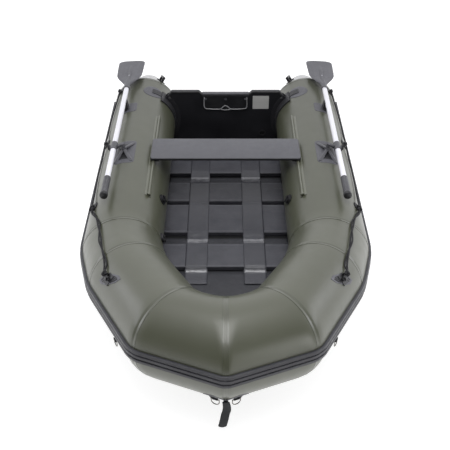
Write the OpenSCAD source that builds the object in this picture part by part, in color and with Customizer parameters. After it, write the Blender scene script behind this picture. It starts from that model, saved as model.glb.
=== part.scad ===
// Rigid-transom inflatable tender with a roll-up slatted floor, bench seat and two pinned oars.
// X points to port, -Y to the bow, +Z up. The origin lies on the ground, under the middle of the boat.

/* [Air tubes] */
// Diameter of the air tubes
tube_d = 360; // [320:5:440]
// Distance between the centre lines of the two side tubes
tube_spacing = 940; // [780:10:1130]
// Length of the straight side tubes, from the stern cones to the first bow seam
side_len = 1380; // [1150:10:1700]
// Thickness of the coated tube fabric
fabric_t = 1; // [0.8:0.1:1.5]
// Length of the stern cones
cone_len = 250; // [180:10:320]
// Diameter of the small end of a stern cone
cone_end_d = 160; // [120:5:200]
// Upward tilt of the bow, from the first bow seam
bow_tilt = 10; // [4:1:14]
// How far the second bow seam lies inboard of the side tube's centre line
cheek_in = 65; // [40:5:90]
// How far the second bow seam lies ahead of the first
cheek_fwd = 250; // [200:10:300]
// Distance of the third bow seam from the middle of the boat
nose_x = 215; // [190:5:240]
// How far the third bow seam lies ahead of the first
nose_fwd = 633; // [590:1:700]
// How far the bow's middle seam lies ahead of the first seam
tip_fwd = 735; // [700:5:800]
// Distance of the inner chamber walls from the first bow seam
baffle_back = 170; // [120:10:300]

/* [Rubbing strake] */
// Height of the strake's band
strake_h = 46; // [36:2:60]
// Thickness of the band
strake_t = 8; // [5:1:12]
// Height of each of the strake's two ridges
ridge_h = 13; // [8:1:16]
// How far a ridge stands out of the band
ridge_t = 3.5; // [2:0.5:5]

/* [Floor] */
// Height of the bottom skin's upper face above the ground
floor_z = 40; // [30:1:55]
// Thickness of the bottom skin
skin_t = 2; // [1.5:0.5:3]
// Thickness of a slat's sleeve fabric
sleeve_t = 1.5; // [1:0.5:2]
// Thickness of the wooden slats
slat_t = 21; // [15:1:24]
// Width of a narrow slat, measured along the boat
slat_w = 174; // [140:2:190]
// Width of the wide slat
wide_slat_w = 236; // [200:2:260]
// Wide gap between two slats
wide_gap = 90; // [60:5:110]
// Narrow gap between two slats
narrow_gap = 30; // [20:2:50]
// Distance of the foremost slat's front edge behind the first bow seam
slat_start = 33; // [20:1:60]
// Clearance between the slats and the side tubes
slat_side_gap = 16; // [10:1:40]
// Width of the straps that join the slats
strap_w = 105; // [80:5:130]
// Distance of a strap's middle from the middle of the boat
strap_x = 138; // [110:2:170]
// Thickness of a strap
strap_t = 1.2; // [0.8:0.1:2]

/* [Transom] */
// Distance of the transom's back face ahead of the stern seam
transom_back = 130; // [100:5:200]
// Thickness of the transom board
transom_t = 25; // [18:1:30]
// How far the transom's top edge lies below the top of the tubes
transom_drop = 8; // [0:1:30]
// Depth of the lowered middle of the top edge
notch_depth = 16; // [8:1:30]
// Width of the lowered middle
notch_w = 270; // [240:5:320]
// Thickness of the moulded holders between board and tubes
holder_t = 8; // [5:1:12]
// Width of the motor pads
pad_w = 246; // [200:2:246]
// Height of the motor pads
pad_h = 84; // [60:2:100]
// Thickness of a motor pad
pad_t = 8; // [5:1:12]
// Width of the blank plate
plate_w = 92; // [70:2:110]
// Height of the blank plate
plate_h = 82; // [60:2:90]
// Distance of the blank plate's middle from the middle of the boat
plate_x = 201; // [180:1:220]
// Distance of the drain from the middle of the boat
drain_x = 215; // [150:5:240]
// Radius of the drain's bore
drain_r = 12.5; // [9:0.5:16]

/* [Seat] */
// Width of the bench seat, measured along the boat
seat_w = 190; // [160:2:220]
// Thickness of the seat board
seat_t = 14; // [12:1:18]
// Height of the seat board's upper face
seat_lift = 4; // [0:1:10]
// Distance of the seat's middle behind the first bow seam
seat_back = 612; // [450:2:700]
// Place of the seat rails round the tube, counted from outboard
rail_angle = 126; // [122:1:130]
// Length of the seat rails
rail_len = 745; // [600:5:800]
// Distance of the rails' front ends behind the first bow seam
rail_start = 235; // [200:5:300]
// Diameter of the bead that the seat slides on
bead_d = 10; // [8:1:12]
// Running clearance between bead and seat clip
clip_gap = 0.6; // [0.4:0.1:1]

/* [Oars] */
// Outer diameter of the oar shaft
shaft_d = 27; // [22:1:32]
// Wall of the oar shaft
shaft_wall = 1.5; // [1:0.1:2]
// Length of the shaft behind the oarlock
shaft_aft = 650; // [500:10:800]
// Length of the oar ahead of the oarlock, to the end of its grip
loom_fwd = 425; // [350:5:480]
// Length of the grip
grip_len = 150; // [110:5:180]
// Length of the blade
blade_len = 352; // [300:2:420]
// Width of the blade
blade_w = 152; // [130:2:180]
// Thickness of the blade's web
blade_t = 4; // [3:0.5:6]
// Tilt of the stowed blade, outboard edge down
blade_tilt = 3; // [0:1:11]

/* [Oarlocks] */
// Distance of the oarlocks behind the first bow seam
lock_back = 575; // [500:5:620]
// Place of the oarlocks round the tube, counted from outboard
lock_angle = 79; // [75:1:85]
// Height of the oar's axle above the tube
lock_h = 38; // [36:1:44]
// Distance of the oar's middle outboard of the swivel
lock_arm = 44; // [40:1:50]
// Diameter of the oar's axle
axle_d = 10; // [8:1:12]
// Diameter of the swivel's upright pin
pivot_d = 14; // [12:1:16]
// Radial clearance of the axle and the pivot in their bores
run_gap = 0.05; // [0.02:0.01:0.1]
// Distance of the oar rests behind the first bow seam
rest_back = 1040; // [900:5:1060]

/* [Fittings] */
// Diameter of the lifelines
line_d = 9; // [8:1:12]
// Length of a stern handle
handle_len = 92; // [80:2:120]
// Diameter of an air valve's flange
valve_d = 52; // [44:2:60]
// Inner width of a D-ring
ring_w = 29; // [22:1:36]
// Diameter of a D-ring's wire
ring_wire = 4; // [3:0.5:6]
// Length of the hanging bow handle
pull_len = 140; // [110:5:160]
// Width of the bow handle
pull_w = 30; // [26:1:36]

/* [Hidden] */

$fn = 96;
fine = 32;               // facets of small round details
tiny = 0.3;              // gap between soft pieces that lie against each other
R = tube_d / 2;
W = tube_spacing / 2;
cut = 3 * tube_d;        // size of the blocks that trim the tubes
shoulder_y = -350;
stern_y = shoulder_y + side_len;

function unit(v) = v / norm(v);
function polar(r, a) = [r * cos(a), r * sin(a)];
// Half the width of a tube at height h above its lowest line
function half_chord(h) = sqrt(R * R - (R - h) * (R - h));

// Bow seams in the bow's own tilted plane, from the first seam to the middle one (port side)
bow_plan = [[W, 0], [W - cheek_in, -cheek_fwd], [nose_x, -nose_fwd], [0, -tip_fwd]];
bow_dirs = [for (i = [0:2]) unit(bow_plan[i + 1] - bow_plan[i])];
function outward(d) = [-d.y, d.x];
function lift(p) = [p.x, shoulder_y + p.y * cos(bow_tilt), R - p.y * sin(bow_tilt)];
hull_path = concat([[W, stern_y, R]], [for (p = bow_plan) lift(p)]);
hull_dirs = [for (i = [0:3]) unit(hull_path[i + 1] - hull_path[i])];
function mitre(i) = i == 0 ? [0, -1, 0] : i == 4 ? [-1, 0, 0] : unit(hull_dirs[i - 1] + hull_dirs[i]);

module mirrored() { mirror([1, 0, 0]) children(); }
module both() { children(); mirrored() children(); }

// Puts the children's +Z along v, starting at p
module along(p, v) translate(p) rotate([0, acos(v.z / norm(v)), atan2(v.y, v.x)]) children();
// Everything beyond the plane through p, on the side that n points to
module beyond(p, n) along(p, n) translate([-cut, -cut, 0]) cube([2 * cut, 2 * cut, cut]);
// The bow's own frame: flat in the bow's tilted plane
module in_bow() translate([0, shoulder_y, R]) rotate([-bow_tilt, 0, 0]) children();
// A frame on bow tube i (0 shoulder, 1 cheek, 2 nose), t along it from its rear seam.
// -Y runs forward along the tube.
module on_bow_tube(i, t) in_bow() translate([bow_plan[i].x, bow_plan[i].y, 0])
    rotate([0, 0, atan2(bow_dirs[i].x, -bow_dirs[i].y)]) translate([0, -t, 0]) children();
// A frame on the side tube's centre line at y
module on_side_tube(y) translate([W, y, R]) children();
// From a centre-line frame to the tube's skin at angle a, counted up from outboard.
// +Z points outward, +X away from the top.
module at_angle(a, r = R) rotate([0, 90 - a, 0]) translate([0, 0, r]) children();
// Part of a ring round a centre-line frame, from angle a1 to a2 and len along the tube
module ring_sector(r1, r2, a1, a2, len) rotate([90, 0, 0]) translate([0, 0, -len / 2]) linear_extrude(len)
    intersection() {
        difference() { circle(r = r2); circle(r = r1); }
        polygon([[0, 0], polar(3 * r2, a1), polar(3 * r2, (a1 + a2) / 2), polar(3 * r2, a2)]);
    }
module rounded_plate(x, y, r) {
    square([x - 2 * r, y], center = true);
    square([x, y - 2 * r], center = true);
    for (i = [-1, 1], j = [-1, 1]) translate([i * (x / 2 - r), j * (y / 2 - r)]) circle(r = r, $fn = fine);
}
// A patch of fabric or moulding on a tube, cut to the 2-D children seen along its normal at angle a
module tube_patch(a, t) intersection() {
    rotate([90, 0, 0]) translate([0, 0, -tube_d / 2]) linear_extrude(tube_d) difference() {
        circle(r = R + t);
        circle(r = R);
    }
    at_angle(a, R / 2) linear_extrude(R) children();
}

// ---- Air tubes ----
module tube_run(i, r) along(hull_path[i] - cut / 2 * hull_dirs[i], hull_dirs[i])
    cylinder(r = r, h = norm(hull_path[i + 1] - hull_path[i]) + cut);
module tube(i) color("#5b5f4c") difference() {
    tube_run(i, R);
    tube_run(i, R - fabric_t);
    beyond(hull_path[i], -mitre(i));
    beyond(hull_path[i + 1], mitre(i + 1));
}
module stern_cone() color("#8d8f8c") translate([W, stern_y, R]) rotate([-90, 0, 0]) difference() {
    cylinder(r1 = R, r2 = cone_end_d / 2, h = cone_len);
    translate([0, 0, -fabric_t]) cylinder(r1 = R, r2 = cone_end_d / 2, h = cone_len);
}
baffle_len = 24;
module chamber_walls() color("#6d6f6a") both()
    on_side_tube(shoulder_y + baffle_back) rotate([90, 0, 0]) difference() {
        cylinder(r = R - fabric_t - tiny, h = baffle_len);
        translate([0, 0, fabric_t]) cylinder(r = R - 2 * fabric_t - tiny, h = baffle_len);
    }

// ---- Rubbing strake ----
module strake_profile() difference() {
    union() {
        translate([R / 2, -strake_h / 2]) square([R / 2 + strake_t, strake_h]);
        for (j = [-1, 1]) translate([R, j * (strake_h - ridge_h) / 2 - ridge_h / 2])
            square([strake_t + ridge_t, ridge_h]);
    }
    circle(r = R);
}
module strake_run(len) rotate([90, 0, 0]) linear_extrude(len) strake_profile();
module strake_sides() color("#3a3b3f") both() difference() {
    on_side_tube(stern_y) strake_run(side_len + R);
    beyond(hull_path[1], mitre(1));
}
module strake_bow() color("#3a3b3f") both() for (i = [0:2]) difference() {
    on_bow_tube(i, -R) strake_run(norm(bow_plan[i + 1] - bow_plan[i]) + 2 * R);
    beyond(hull_path[i + 1] + tiny / 2 * mitre(i + 1), -mitre(i + 1));
    beyond(hull_path[i + 2] - tiny / 2 * mitre(i + 2), mitre(i + 2));
}

// ---- Floor ----
skin_half_w = W - half_chord(floor_z) - tiny;
// How far the floor's fold lies ahead of the first seam
fold_y = (R - floor_z) * tan(bow_tilt / 2);
skin_back = stern_y - transom_back + 20;
module bottom_skin() color("#33343a")
    translate([-skin_half_w, shoulder_y - fold_y + tiny, floor_z - skin_t])
    cube([2 * skin_half_w, skin_back - shoulder_y + fold_y - tiny, skin_t]);
// The bow's centre line moved inboard by c, seam by seam
function inset(i, c) = let (a = outward(bow_dirs[i - 1]), b = outward(bow_dirs[i]))
    bow_plan[i] - (a + b) / (1 + a * b) * c;
bow_floor_in = half_chord(floor_z) + 1.2;
bow_floor_half = [for (i = [1:2]) inset(i, bow_floor_in)];
bow_floor_tip = [0, bow_plan[3].y + bow_floor_in / abs(outward(bow_dirs[2]).y)];
module bow_floor() color("#3a3b41") in_bow() translate([0, 0, floor_z - skin_t - R]) linear_extrude(skin_t)
    polygon(concat([[skin_half_w - 1, fold_y - tiny]], bow_floor_half, [bow_floor_tip],
        [for (i = [1:-1:0]) [-bow_floor_half[i].x, bow_floor_half[i].y]],
        [[1 - skin_half_w, fold_y - tiny]]));

sleeve_z = floor_z + tiny;
sleeve_h = slat_t + 2 * sleeve_t + 2 * tiny;
sleeve_half_w = W - half_chord(floor_z + sleeve_h) - slat_side_gap;
slat_widths = [slat_w, wide_slat_w, slat_w, wide_slat_w];
slat_gaps = [wide_gap, narrow_gap, wide_gap];
// Front edge of slat i, counted from the bow
function slat_y(i) = i == 0 ? shoulder_y + slat_start
    : slat_y(i - 1) + slat_widths[i - 1] + slat_gaps[i - 1];
slats_fit = [for (i = [0:3]) if (slat_y(i) + slat_widths[i] < skin_back - transom_t - 90) i];
module floor_sleeves() color("#4b4c52") for (i = slats_fit)
    translate([-sleeve_half_w, slat_y(i), sleeve_z]) difference() {
        cube([2 * sleeve_half_w, slat_widths[i], sleeve_h]);
        translate([sleeve_t, sleeve_t, sleeve_t])
            cube([2 * (sleeve_half_w - sleeve_t), slat_widths[i] - 2 * sleeve_t, sleeve_h - 2 * sleeve_t]);
    }
slat_inset = sleeve_t + tiny;
module floor_slats() color("#b08d5b") for (i = slats_fit)
    translate([slat_inset - sleeve_half_w, slat_y(i) + slat_inset, sleeve_z + slat_inset])
        cube([2 * (sleeve_half_w - slat_inset), slat_widths[i] - 2 * slat_inset, slat_t]);
strap_y = slat_y(0) - 14;
module floor_straps() color("#66686e") both() let (last = slats_fit[len(slats_fit) - 1])
    translate([strap_x - strap_w / 2, strap_y, sleeve_z + sleeve_h + tiny])
        cube([strap_w, slat_y(last) + slat_widths[last] - 20 - strap_y, strap_t]);

// ---- Transom ----
transom_y = stern_y - transom_back - transom_t;    // front face
transom_top = tube_d - transom_drop;
notch_slope = 15;
ear_angle = 135;
ear = [W, R] + polar(R + holder_t, ear_angle);
shoulder_in = 32;        // from the board's ear to the end of its level top edge
notch_z = transom_top - notch_depth;
module transom_outline() difference() {
    polygon([[-W, floor_z + tiny], [-W, R], [-ear.x, ear.y], [shoulder_in - ear.x, transom_top],
        [-notch_w / 2 - notch_slope, transom_top], [-notch_w / 2, notch_z], [notch_w / 2, notch_z],
        [notch_w / 2 + notch_slope, transom_top], [ear.x - shoulder_in, transom_top], [ear.x, ear.y],
        [W, R], [W, floor_z + tiny]]);
    for (s = [-1, 1]) translate([s * W, R]) circle(r = R + holder_t);
}
module upright(y, t) translate([0, y + t, 0]) rotate([90, 0, 0]) linear_extrude(t) children();
pad_z = notch_z - 5 - pad_h / 2;
pad_y_inner = transom_y - pad_t - tiny;
pad_y_outer = transom_y + transom_t + tiny;
screw_x = pad_w / 2 - 10;
screw_z = notch_z - 24;
screw_r = 3;
module transom_board() color("#17181c") difference() {
    upright(transom_y, transom_t) transom_outline();
    for (x = [-1, 0, 1]) translate([x * screw_x, transom_y - 1, screw_z]) rotate([-90, 0, 0])
        cylinder(r = screw_r + run_gap, h = transom_t + 2, $fn = fine);
    translate([drain_x, transom_y - 1, drain_z]) rotate([-90, 0, 0])
        cylinder(r = drain_r + 4, h = transom_t + 2);
    both() at_ear_bolt() ear_bore();
}
flange_t = 4;            // flanges of the holders, either side of the board
flange_h = 22;
holder_fwd = 60;         // how far a holder runs ahead of the board
holder_y0 = transom_y - holder_fwd;
holder_y1 = transom_y + transom_t + flange_t + 16;
bolt_reach = 30;
module at_ear_bolt()
    translate([ear.x - 19, transom_y + transom_t / 2, ear.y + 5]) rotate([90, 0, 0]) children();
module ear_bore() cylinder(r = screw_r + run_gap, h = 2 * bolt_reach, center = true, $fn = fine);
tongue_from = 108;       // angles of the tongue that ties a holder to its patch
tongue_to = ear_angle - 8.5;
module transom_holders() color("#1d1e22") both() translate([W, 0, R]) difference() {
    union() {
        translate([0, (holder_y0 + holder_y1) / 2, 0])
            ring_sector(R, R + holder_t, ear_angle - 9, 221, holder_y1 - holder_y0);
        for (y = [transom_y - tiny - flange_t / 2, transom_y + transom_t + tiny + flange_t / 2])
            translate([0, y, 0])
                ring_sector(R + holder_t - 1, R + holder_t + flange_h, ear_angle - 2, 219, flange_t);
        translate([0, transom_y + 10, 0])
            ring_sector(R + patch_t, R + patch_t + 3, tongue_from, tongue_to, 44);
    }
    translate([-W, 0, -R]) at_ear_bolt() ear_bore();
}
head_r = 7;
head_h = 3.5;
head_sink = head_h + tiny;    // how deep a head is sunk into its pad
module bolt(len) {
    cylinder(r = screw_r, h = len, $fn = fine);
    for (z = [-head_h, len]) translate([0, 0, z]) cylinder(r = head_r, h = head_h, $fn = fine);
}
clamp_t = transom_t + 2 * flange_t + 2 * tiny;     // board between the holder's flanges
module transom_bolts() color("#c9cacc") {
    for (x = [-1, 0, 1]) translate([x * screw_x, transom_y - pad_t - tiny + head_sink, screw_z])
        rotate([-90, 0, 0]) bolt(transom_t + 2 * (pad_t + tiny - head_sink));
    both() at_ear_bolt() translate([0, 0, -clamp_t / 2]) bolt(clamp_t);
}
// A pad from y aft, its screw heads sunk into the face that lies at face_y
module motor_pad(y, face_y) color("#202126") difference() {
    union() {
        upright(y, pad_t) translate([0, pad_z]) rounded_plate(pad_w, pad_h, 8);
        for (s = [-1, 1]) upright(y, pad_t) translate([0, pad_z - pad_h / 2])
            polygon([[s * (pad_w / 2 - 8), 8], [s * pad_w / 4, -5], [s * pad_w / 8, 8]]);
    }
    for (x = [-1, 0, 1]) translate([x * screw_x, 0, screw_z]) rotate([-90, 0, 0]) {
        translate([0, 0, y - 1]) cylinder(r = screw_r + run_gap, h = pad_t + 2, $fn = fine);
        translate([0, 0, face_y - head_sink]) cylinder(r = head_r + run_gap, h = 2 * head_sink, $fn = fine);
    }
}
plate_z = pad_z - 3;
module blank_plate() color("#a9a9a7") upright(transom_y - tiny - 1.5, 1.5)
    translate([plate_x, plate_z]) rounded_plate(plate_w, plate_h, 4);
drain_z = floor_z + 45;
drain_flange = 9;
module at_drain() translate([drain_x, transom_y, drain_z]) rotate([-90, 0, 0]) children();
module drain_body() color("#202126") at_drain() difference() {
    union() {
        cylinder(r = drain_r + 4 - tiny, h = transom_t);
        translate([0, 0, -3]) cylinder(r = drain_r + drain_flange, h = 3);
        translate([0, 0, transom_t]) cylinder(r = drain_r + drain_flange, h = 3);
    }
    translate([0, 0, -4]) cylinder(r = drain_r, h = transom_t + 8);
}
plug_grip = 14;
module drain_plug() color("#141518") at_drain() {
    translate([0, 0, 4]) cylinder(r = drain_r - 0.1, h = transom_t);
    translate([0, 0, transom_t + 3 + tiny]) cylinder(r = drain_r + 5, h = 4);
    translate([0, 0, transom_t + 3]) cylinder(r = 7, h = plug_grip);
    translate([-2, -drain_r, transom_t + 5]) cube([4, 2 * drain_r, plug_grip - 2]);
}

// ---- Bench seat on its rails ----
seat_z = tube_d - seat_lift;       // upper face
seat_y = shoulder_y + seat_back;
rail_y = shoulder_y + rail_start + rail_len / 2;
rail_w = 34;             // width of the rail's glued base
rail_base_t = 2;
web_h = 3;
web_t = 3;
bead_r = R + rail_base_t + web_h + bead_d / 2;     // from the tube's centre line to the bead's
rail_half = rail_w / 2 / R * 180 / PI;
module seat_rail() color("#5f6351") on_side_tube(rail_y) {
    ring_sector(R, R + rail_base_t, rail_angle - rail_half, rail_angle + rail_half, rail_len);
    at_angle(rail_angle, R + rail_base_t - 1) translate([-web_t / 2, -rail_len / 2, 0])
        cube([web_t, rail_len, web_h + bead_d / 2]);
    at_angle(rail_angle, bead_r) rotate([90, 0, 0])
        cylinder(d = bead_d, h = rail_len, center = true, $fn = fine);
}
bead = [W, R] + polar(bead_r, rail_angle);
seat_half = W - R * cos(180 - rail_angle) + 8;
module seat_board() color("#6d6f74") translate([0, seat_y, seat_z - seat_t]) linear_extrude(seat_t)
    rounded_plate(2 * seat_half, seat_w, 14);
clip_len = 150;
clip_out = bead_d / 2 + clip_gap + 3;
clip_half = 26;
clip_over = 2.2;         // clip's clearance over the rail's base
clip_slit = 1.2;         // and beside the rail's web
module seat_clips() color("#1b1c20") both() intersection() {
    difference() {
        translate([bead[0] - clip_half, seat_y - clip_len / 2, bead[1] - clip_out])
            cube([clip_half + clip_out, clip_len, seat_z - seat_t - bead[1] + clip_out]);
        translate([bead[0], seat_y, bead[1]]) rotate([90, 0, 0])
            cylinder(r = bead_d / 2 + clip_gap, h = clip_len + 2, center = true);
        on_side_tube(seat_y) rotate([90, 0, 0])
            cylinder(r = R + rail_base_t + clip_over, h = clip_len + 2, center = true);
        on_side_tube(seat_y) at_angle(rail_angle, R) translate([-web_t / 2 - clip_slit, -clip_len, 0])
            cube([web_t + 2 * clip_slit, 2 * clip_len, bead_r - R]);
    }
    translate([0, seat_y - clip_len / 2, 0]) cube([W, clip_len, seat_z]);
}

// ---- Oarlocks and oars ----
lock_y = shoulder_y + lock_back;
lock_half = 82;          // half the length of the pyramid's feet along the tube
lock_side = 40;          // and across it
module at_lock() on_side_tube(lock_y) at_angle(lock_angle) children();
boss_r = 14;
boss_top = lock_h - 12;
foot_t = 6;
module leg(x, y) hull() {
    translate([x, y, -6.5]) cube([16, 16, foot_t], center = true);
    translate([x * 0.1, y * 0.1, boss_top - 9]) cube([10, 10, 8], center = true);
}
module oarlock_base() color("#55565c") at_lock() difference() {
    union() {
        for (x = [-1, 1], y = [-1, 1]) leg(x * lock_side, y * lock_half);
        translate([0, 0, 2]) cylinder(r = boss_r, h = boss_top - 2);
        for (y = [-1, 1]) translate([0, y * lock_half, -3.5])
            cube([2 * lock_side + 8, 14, foot_t], center = true);
    }
    translate([0, 0, boss_top - 20]) cylinder(d = pivot_d + 2 * run_gap, h = 30);
    translate([0, 0, -R]) rotate([90, 0, 0]) cylinder(r = R + patch_t, h = 300, center = true);
}
head_r2 = 11;            // radius of the swivel's head
nut_h = 7;
collar_half = 20;        // half the oar collar's width across the boat
module oarlock_swivel() color("#8f9196") at_lock() {
    translate([0, 0, boss_top - 19]) cylinder(d = pivot_d, h = 24);
    translate([0, 0, boss_top + tiny]) cylinder(r = head_r2, h = 2 * (lock_h - boss_top) - 2 * tiny);
    translate([0, 0, lock_h]) rotate([0, 90, 0])
        cylinder(d = axle_d, h = lock_arm + collar_half + tiny + nut_h);
    translate([0, 0, lock_h]) rotate([0, 90, 0])
        cylinder(d = axle_d + 5, h = lock_arm - collar_half - tiny);
}
module axle_nut() color("#55565c") at_lock() translate([lock_arm + collar_half + tiny, 0, lock_h])
    rotate([0, 90, 0]) difference() {
        union() {
            cylinder(d = axle_d + 12, h = nut_h + 3, $fn = fine);
            translate([-16, -5, 0]) cube([32, 10, nut_h]);
        }
        translate([0, 0, -1]) cylinder(d = axle_d, h = nut_h + 1);
    }
// A frame on the oar: origin where the axle crosses the shaft, +Y aft, +Z away from the tube
module on_oar() at_lock() translate([lock_arm, 0, lock_h]) children();
module cross_bore() rotate([0, 90, 0]) cylinder(d = axle_d + 2 * run_gap, h = 80, center = true);
collar_len = 62;
module oar_collar() color("#6a6c71") on_oar() difference() {
    union() {
        rotate([90, 0, 0]) cylinder(r = shaft_d / 2 + 3, h = collar_len, center = true);
        rotate([0, 90, 0]) cylinder(d = axle_d + 12, h = 2 * collar_half, center = true);
        translate([0, 0, 3]) cube([2 * collar_half - 6, 20, 10], center = true);
    }
    rotate([90, 0, 0]) cylinder(d = shaft_d, h = collar_len + 2, center = true);
    cross_bore();
}
neck = 28;               // how far shaft and blade overlap in the blade's socket
module oar_shaft() color("#dfe0e3") on_oar() difference() {
    translate([0, shaft_aft, 0]) rotate([90, 0, 0]) cylinder(d = shaft_d, h = shaft_aft + loom_fwd - 6);
    translate([0, shaft_aft + 1, 0]) rotate([90, 0, 0])
        cylinder(d = shaft_d - 2 * shaft_wall, h = shaft_aft + loom_fwd);
    cross_bore();
}
module oar_grip() color("#1b1c20") on_oar() translate([0, grip_len - loom_fwd, 0]) rotate([90, 0, 0])
    difference() {
    union() {
        cylinder(r = shaft_d / 2 + 2.5, h = grip_len - 5);
        translate([0, 0, grip_len - 8]) cylinder(r = shaft_d / 2 + 4.5, h = 8);
    }
    translate([0, 0, -1]) cylinder(d = shaft_d, h = grip_len - 5);
}
blade_half = [[15, 0], [blade_w * 0.34, 110], [blade_w * 0.46, 150], [blade_w / 2, blade_len - 12],
    [blade_w / 2 - 12, blade_len]];
module blade_outline()
    polygon(concat(blade_half, [for (i = [4:-1:0]) [-blade_half[i].x, blade_half[i].y]]));
module oar_blade() color("#6c6c73") on_oar() translate([0, shaft_aft - neck, 0])
    rotate([0, blade_tilt + lock_angle - 90, 0]) difference() {
    union() {
        translate([0, 0, -blade_t / 2]) linear_extrude(blade_t) blade_outline();
        rotate([-90, 0, 0]) cylinder(r = shaft_d / 2 + 3, h = 60);
        translate([0, 60, 0]) rotate([-90, 0, 0]) cylinder(r1 = shaft_d / 2 + 3, r2 = 5, h = 150);
        for (s = [-1, 1]) translate([s * blade_w * 0.27, 130, -4]) cube([5, blade_len - 150, 8]);
    }
    translate([0, -1, 0]) rotate([-90, 0, 0]) cylinder(d = shaft_d, h = neck + 1.2);
}
// The rest's ledge lies square to the swivel's axis, so that the oar can swing out over it
rest_y = shoulder_y + rest_back;
rest_w = 40;
ledge_z = lock_h - shaft_d / 2 - tiny;
cheek_x = lock_arm - shaft_d / 2 - tiny;
module oar_rests() color("#1b1c20") both() on_side_tube(rest_y) at_angle(lock_angle) difference() {
    union() {
        translate([cheek_x - 5, -rest_w / 2, -20]) cube([5, rest_w, ledge_z + 36]);
        translate([cheek_x - 5, -rest_w / 2, ledge_z - 4]) cube([shaft_d + 8, rest_w, 4]);
        translate([lock_arm - 4, -rest_w / 2, -20]) cube([8, rest_w, ledge_z + 18]);
        translate([cheek_x - 14, -rest_w / 2 - 8, -20]) cube([shaft_d + 26, rest_w + 16, 19]);
    }
    translate([0, 0, -R]) rotate([90, 0, 0]) cylinder(r = R + patch_t, h = 300, center = true);
}

// ---- Patches, holders and lifelines ----
patch_t = 1.5;
// Places of the holders on a side tube: y and angle
holder_spots = [[stern_y - 53, 41], [shoulder_y + 774, 33], [shoulder_y + 190, 38]];
cheek_spot = [140, 41];  // along the cheek tube, and angle
ring_spot = [262, -28];  // the side ring, along the cheek tube, and angle
nose_angle = -54;        // the bow's rings and pull, below the strake
// Where the skin at nose_angle lies x from the middle of the boat, measured along the nose tube
function nose_t(x) = let (d = bow_dirs[2])
    norm(bow_plan[3] - bow_plan[2]) + (R * cos(nose_angle) * outward(d).x - x) / abs(d.x);
ring_x = 38;
ring_patch_r = 36;
nose_patch_r = ring_x + 8;    // reaches past the middle, to carry the pull's web too
module fitting_patches() color("#616268") both() {
    on_side_tube(lock_y) tube_patch(lock_angle, patch_t) rounded_plate(106, 206, 20);
    on_side_tube(rest_y) tube_patch(lock_angle - 7, patch_t) rounded_plate(84, 96, 14);
    on_side_tube(transom_y + 8) difference() {
        tube_patch(tongue_from, patch_t) circle(r = 62);
        ring_sector(R - 1, R + 5, tongue_to - 0.7, tongue_to + 20, 140);
    }
    on_bow_tube(1, cheek_spot[0]) tube_patch(cheek_spot[1], patch_t)
        polygon([[-34, 0], [-22, 44], [0, 62], [22, 44], [34, 0], [22, -44], [0, -62], [-22, -44]]);
    on_bow_tube(1, ring_spot[0]) tube_patch(ring_spot[1] + 6, patch_t) circle(r = ring_patch_r);
    difference() {
        on_bow_tube(2, nose_t(ring_x)) tube_patch(nose_angle + 3, patch_t) circle(r = nose_patch_r);
        beyond([tiny, hull_path[4].y, 0], [-1, 0, 0]);
    }
}
loop_r = line_d / 2 + 4;
loop_gap = loop_r + 3;   // from the skin to the lifeline in its holders
module line_holder(a) {
    at_angle(a, R + loop_gap) rotate([90, 0, 0]) difference() {
        cylinder(r = loop_r, h = 16, center = true, $fn = fine);
        cylinder(r = loop_r - 2.2, h = 18, center = true, $fn = fine);
    }
    ring_sector(R + patch_t, R + patch_t + 3, a - 7, a + 7, 40);
}
module line_holders() color("#1b1c20") both() {
    for (p = holder_spots) on_side_tube(p[0]) line_holder(p[1]);
    for (p = holder_spots) on_side_tube(p[0]) tube_patch(p[1], patch_t) circle(r = 27);
    on_bow_tube(1, cheek_spot[0]) line_holder(cheek_spot[1]);
}
// Route of a lifeline along a side tube. Each point is how far behind the first bow seam,
// angle round the tube, and gap to the skin.
line_route = [[1345, 41, loop_gap], [1312, 41, loop_gap], [1270, 40, 8], [1180, 35, 6],
    [1080, 31, 6], [980, 29, 6], [880, 30, 6], [800, 33, loop_gap], [755, 33, loop_gap],
    [650, 30, 6], [540, 28, 6], [430, 29, 6], [320, 33, 7], [215, 38, loop_gap],
    [170, 38.5, loop_gap], [140, 42, 10], [90, 50, 8], [30, 57, 9]];
// The same along the bow: distance ahead of the first seam in the bow's plane, with angle and gap
bow_route = [[40, 58, 10], [120, 58, 8], [200, 56, 9], [290, 50, 9], [330, 43.5, 10],
    [350, 41, loop_gap], [395, 41, loop_gap]];
function bow_seg(f) = f < cheek_fwd ? 0 : 1;
function on_tube_skin(c, o, u, a, r) = c + r * (cos(a) * o + sin(a) * u);
function side_point(p) = on_tube_skin([W, shoulder_y + p[0], R], [1, 0, 0], [0, 0, 1], p[1], R + p[2]);
bow_up = [0, sin(bow_tilt), cos(bow_tilt)];
function lift_dir(v) = [v.x, v.y * cos(bow_tilt), -v.y * sin(bow_tilt)];
function bow_line_point(p) = let (i = bow_seg(p[0]), d = bow_dirs[i], k = (p[0] + bow_plan[i].y) / -d.y)
    on_tube_skin(lift(bow_plan[i] + k * d), lift_dir(outward(d)), bow_up, p[1], R + p[2]);
line_ctrl = concat([for (p = line_route) side_point(p)], [for (p = bow_route) bow_line_point(p)]);
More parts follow.
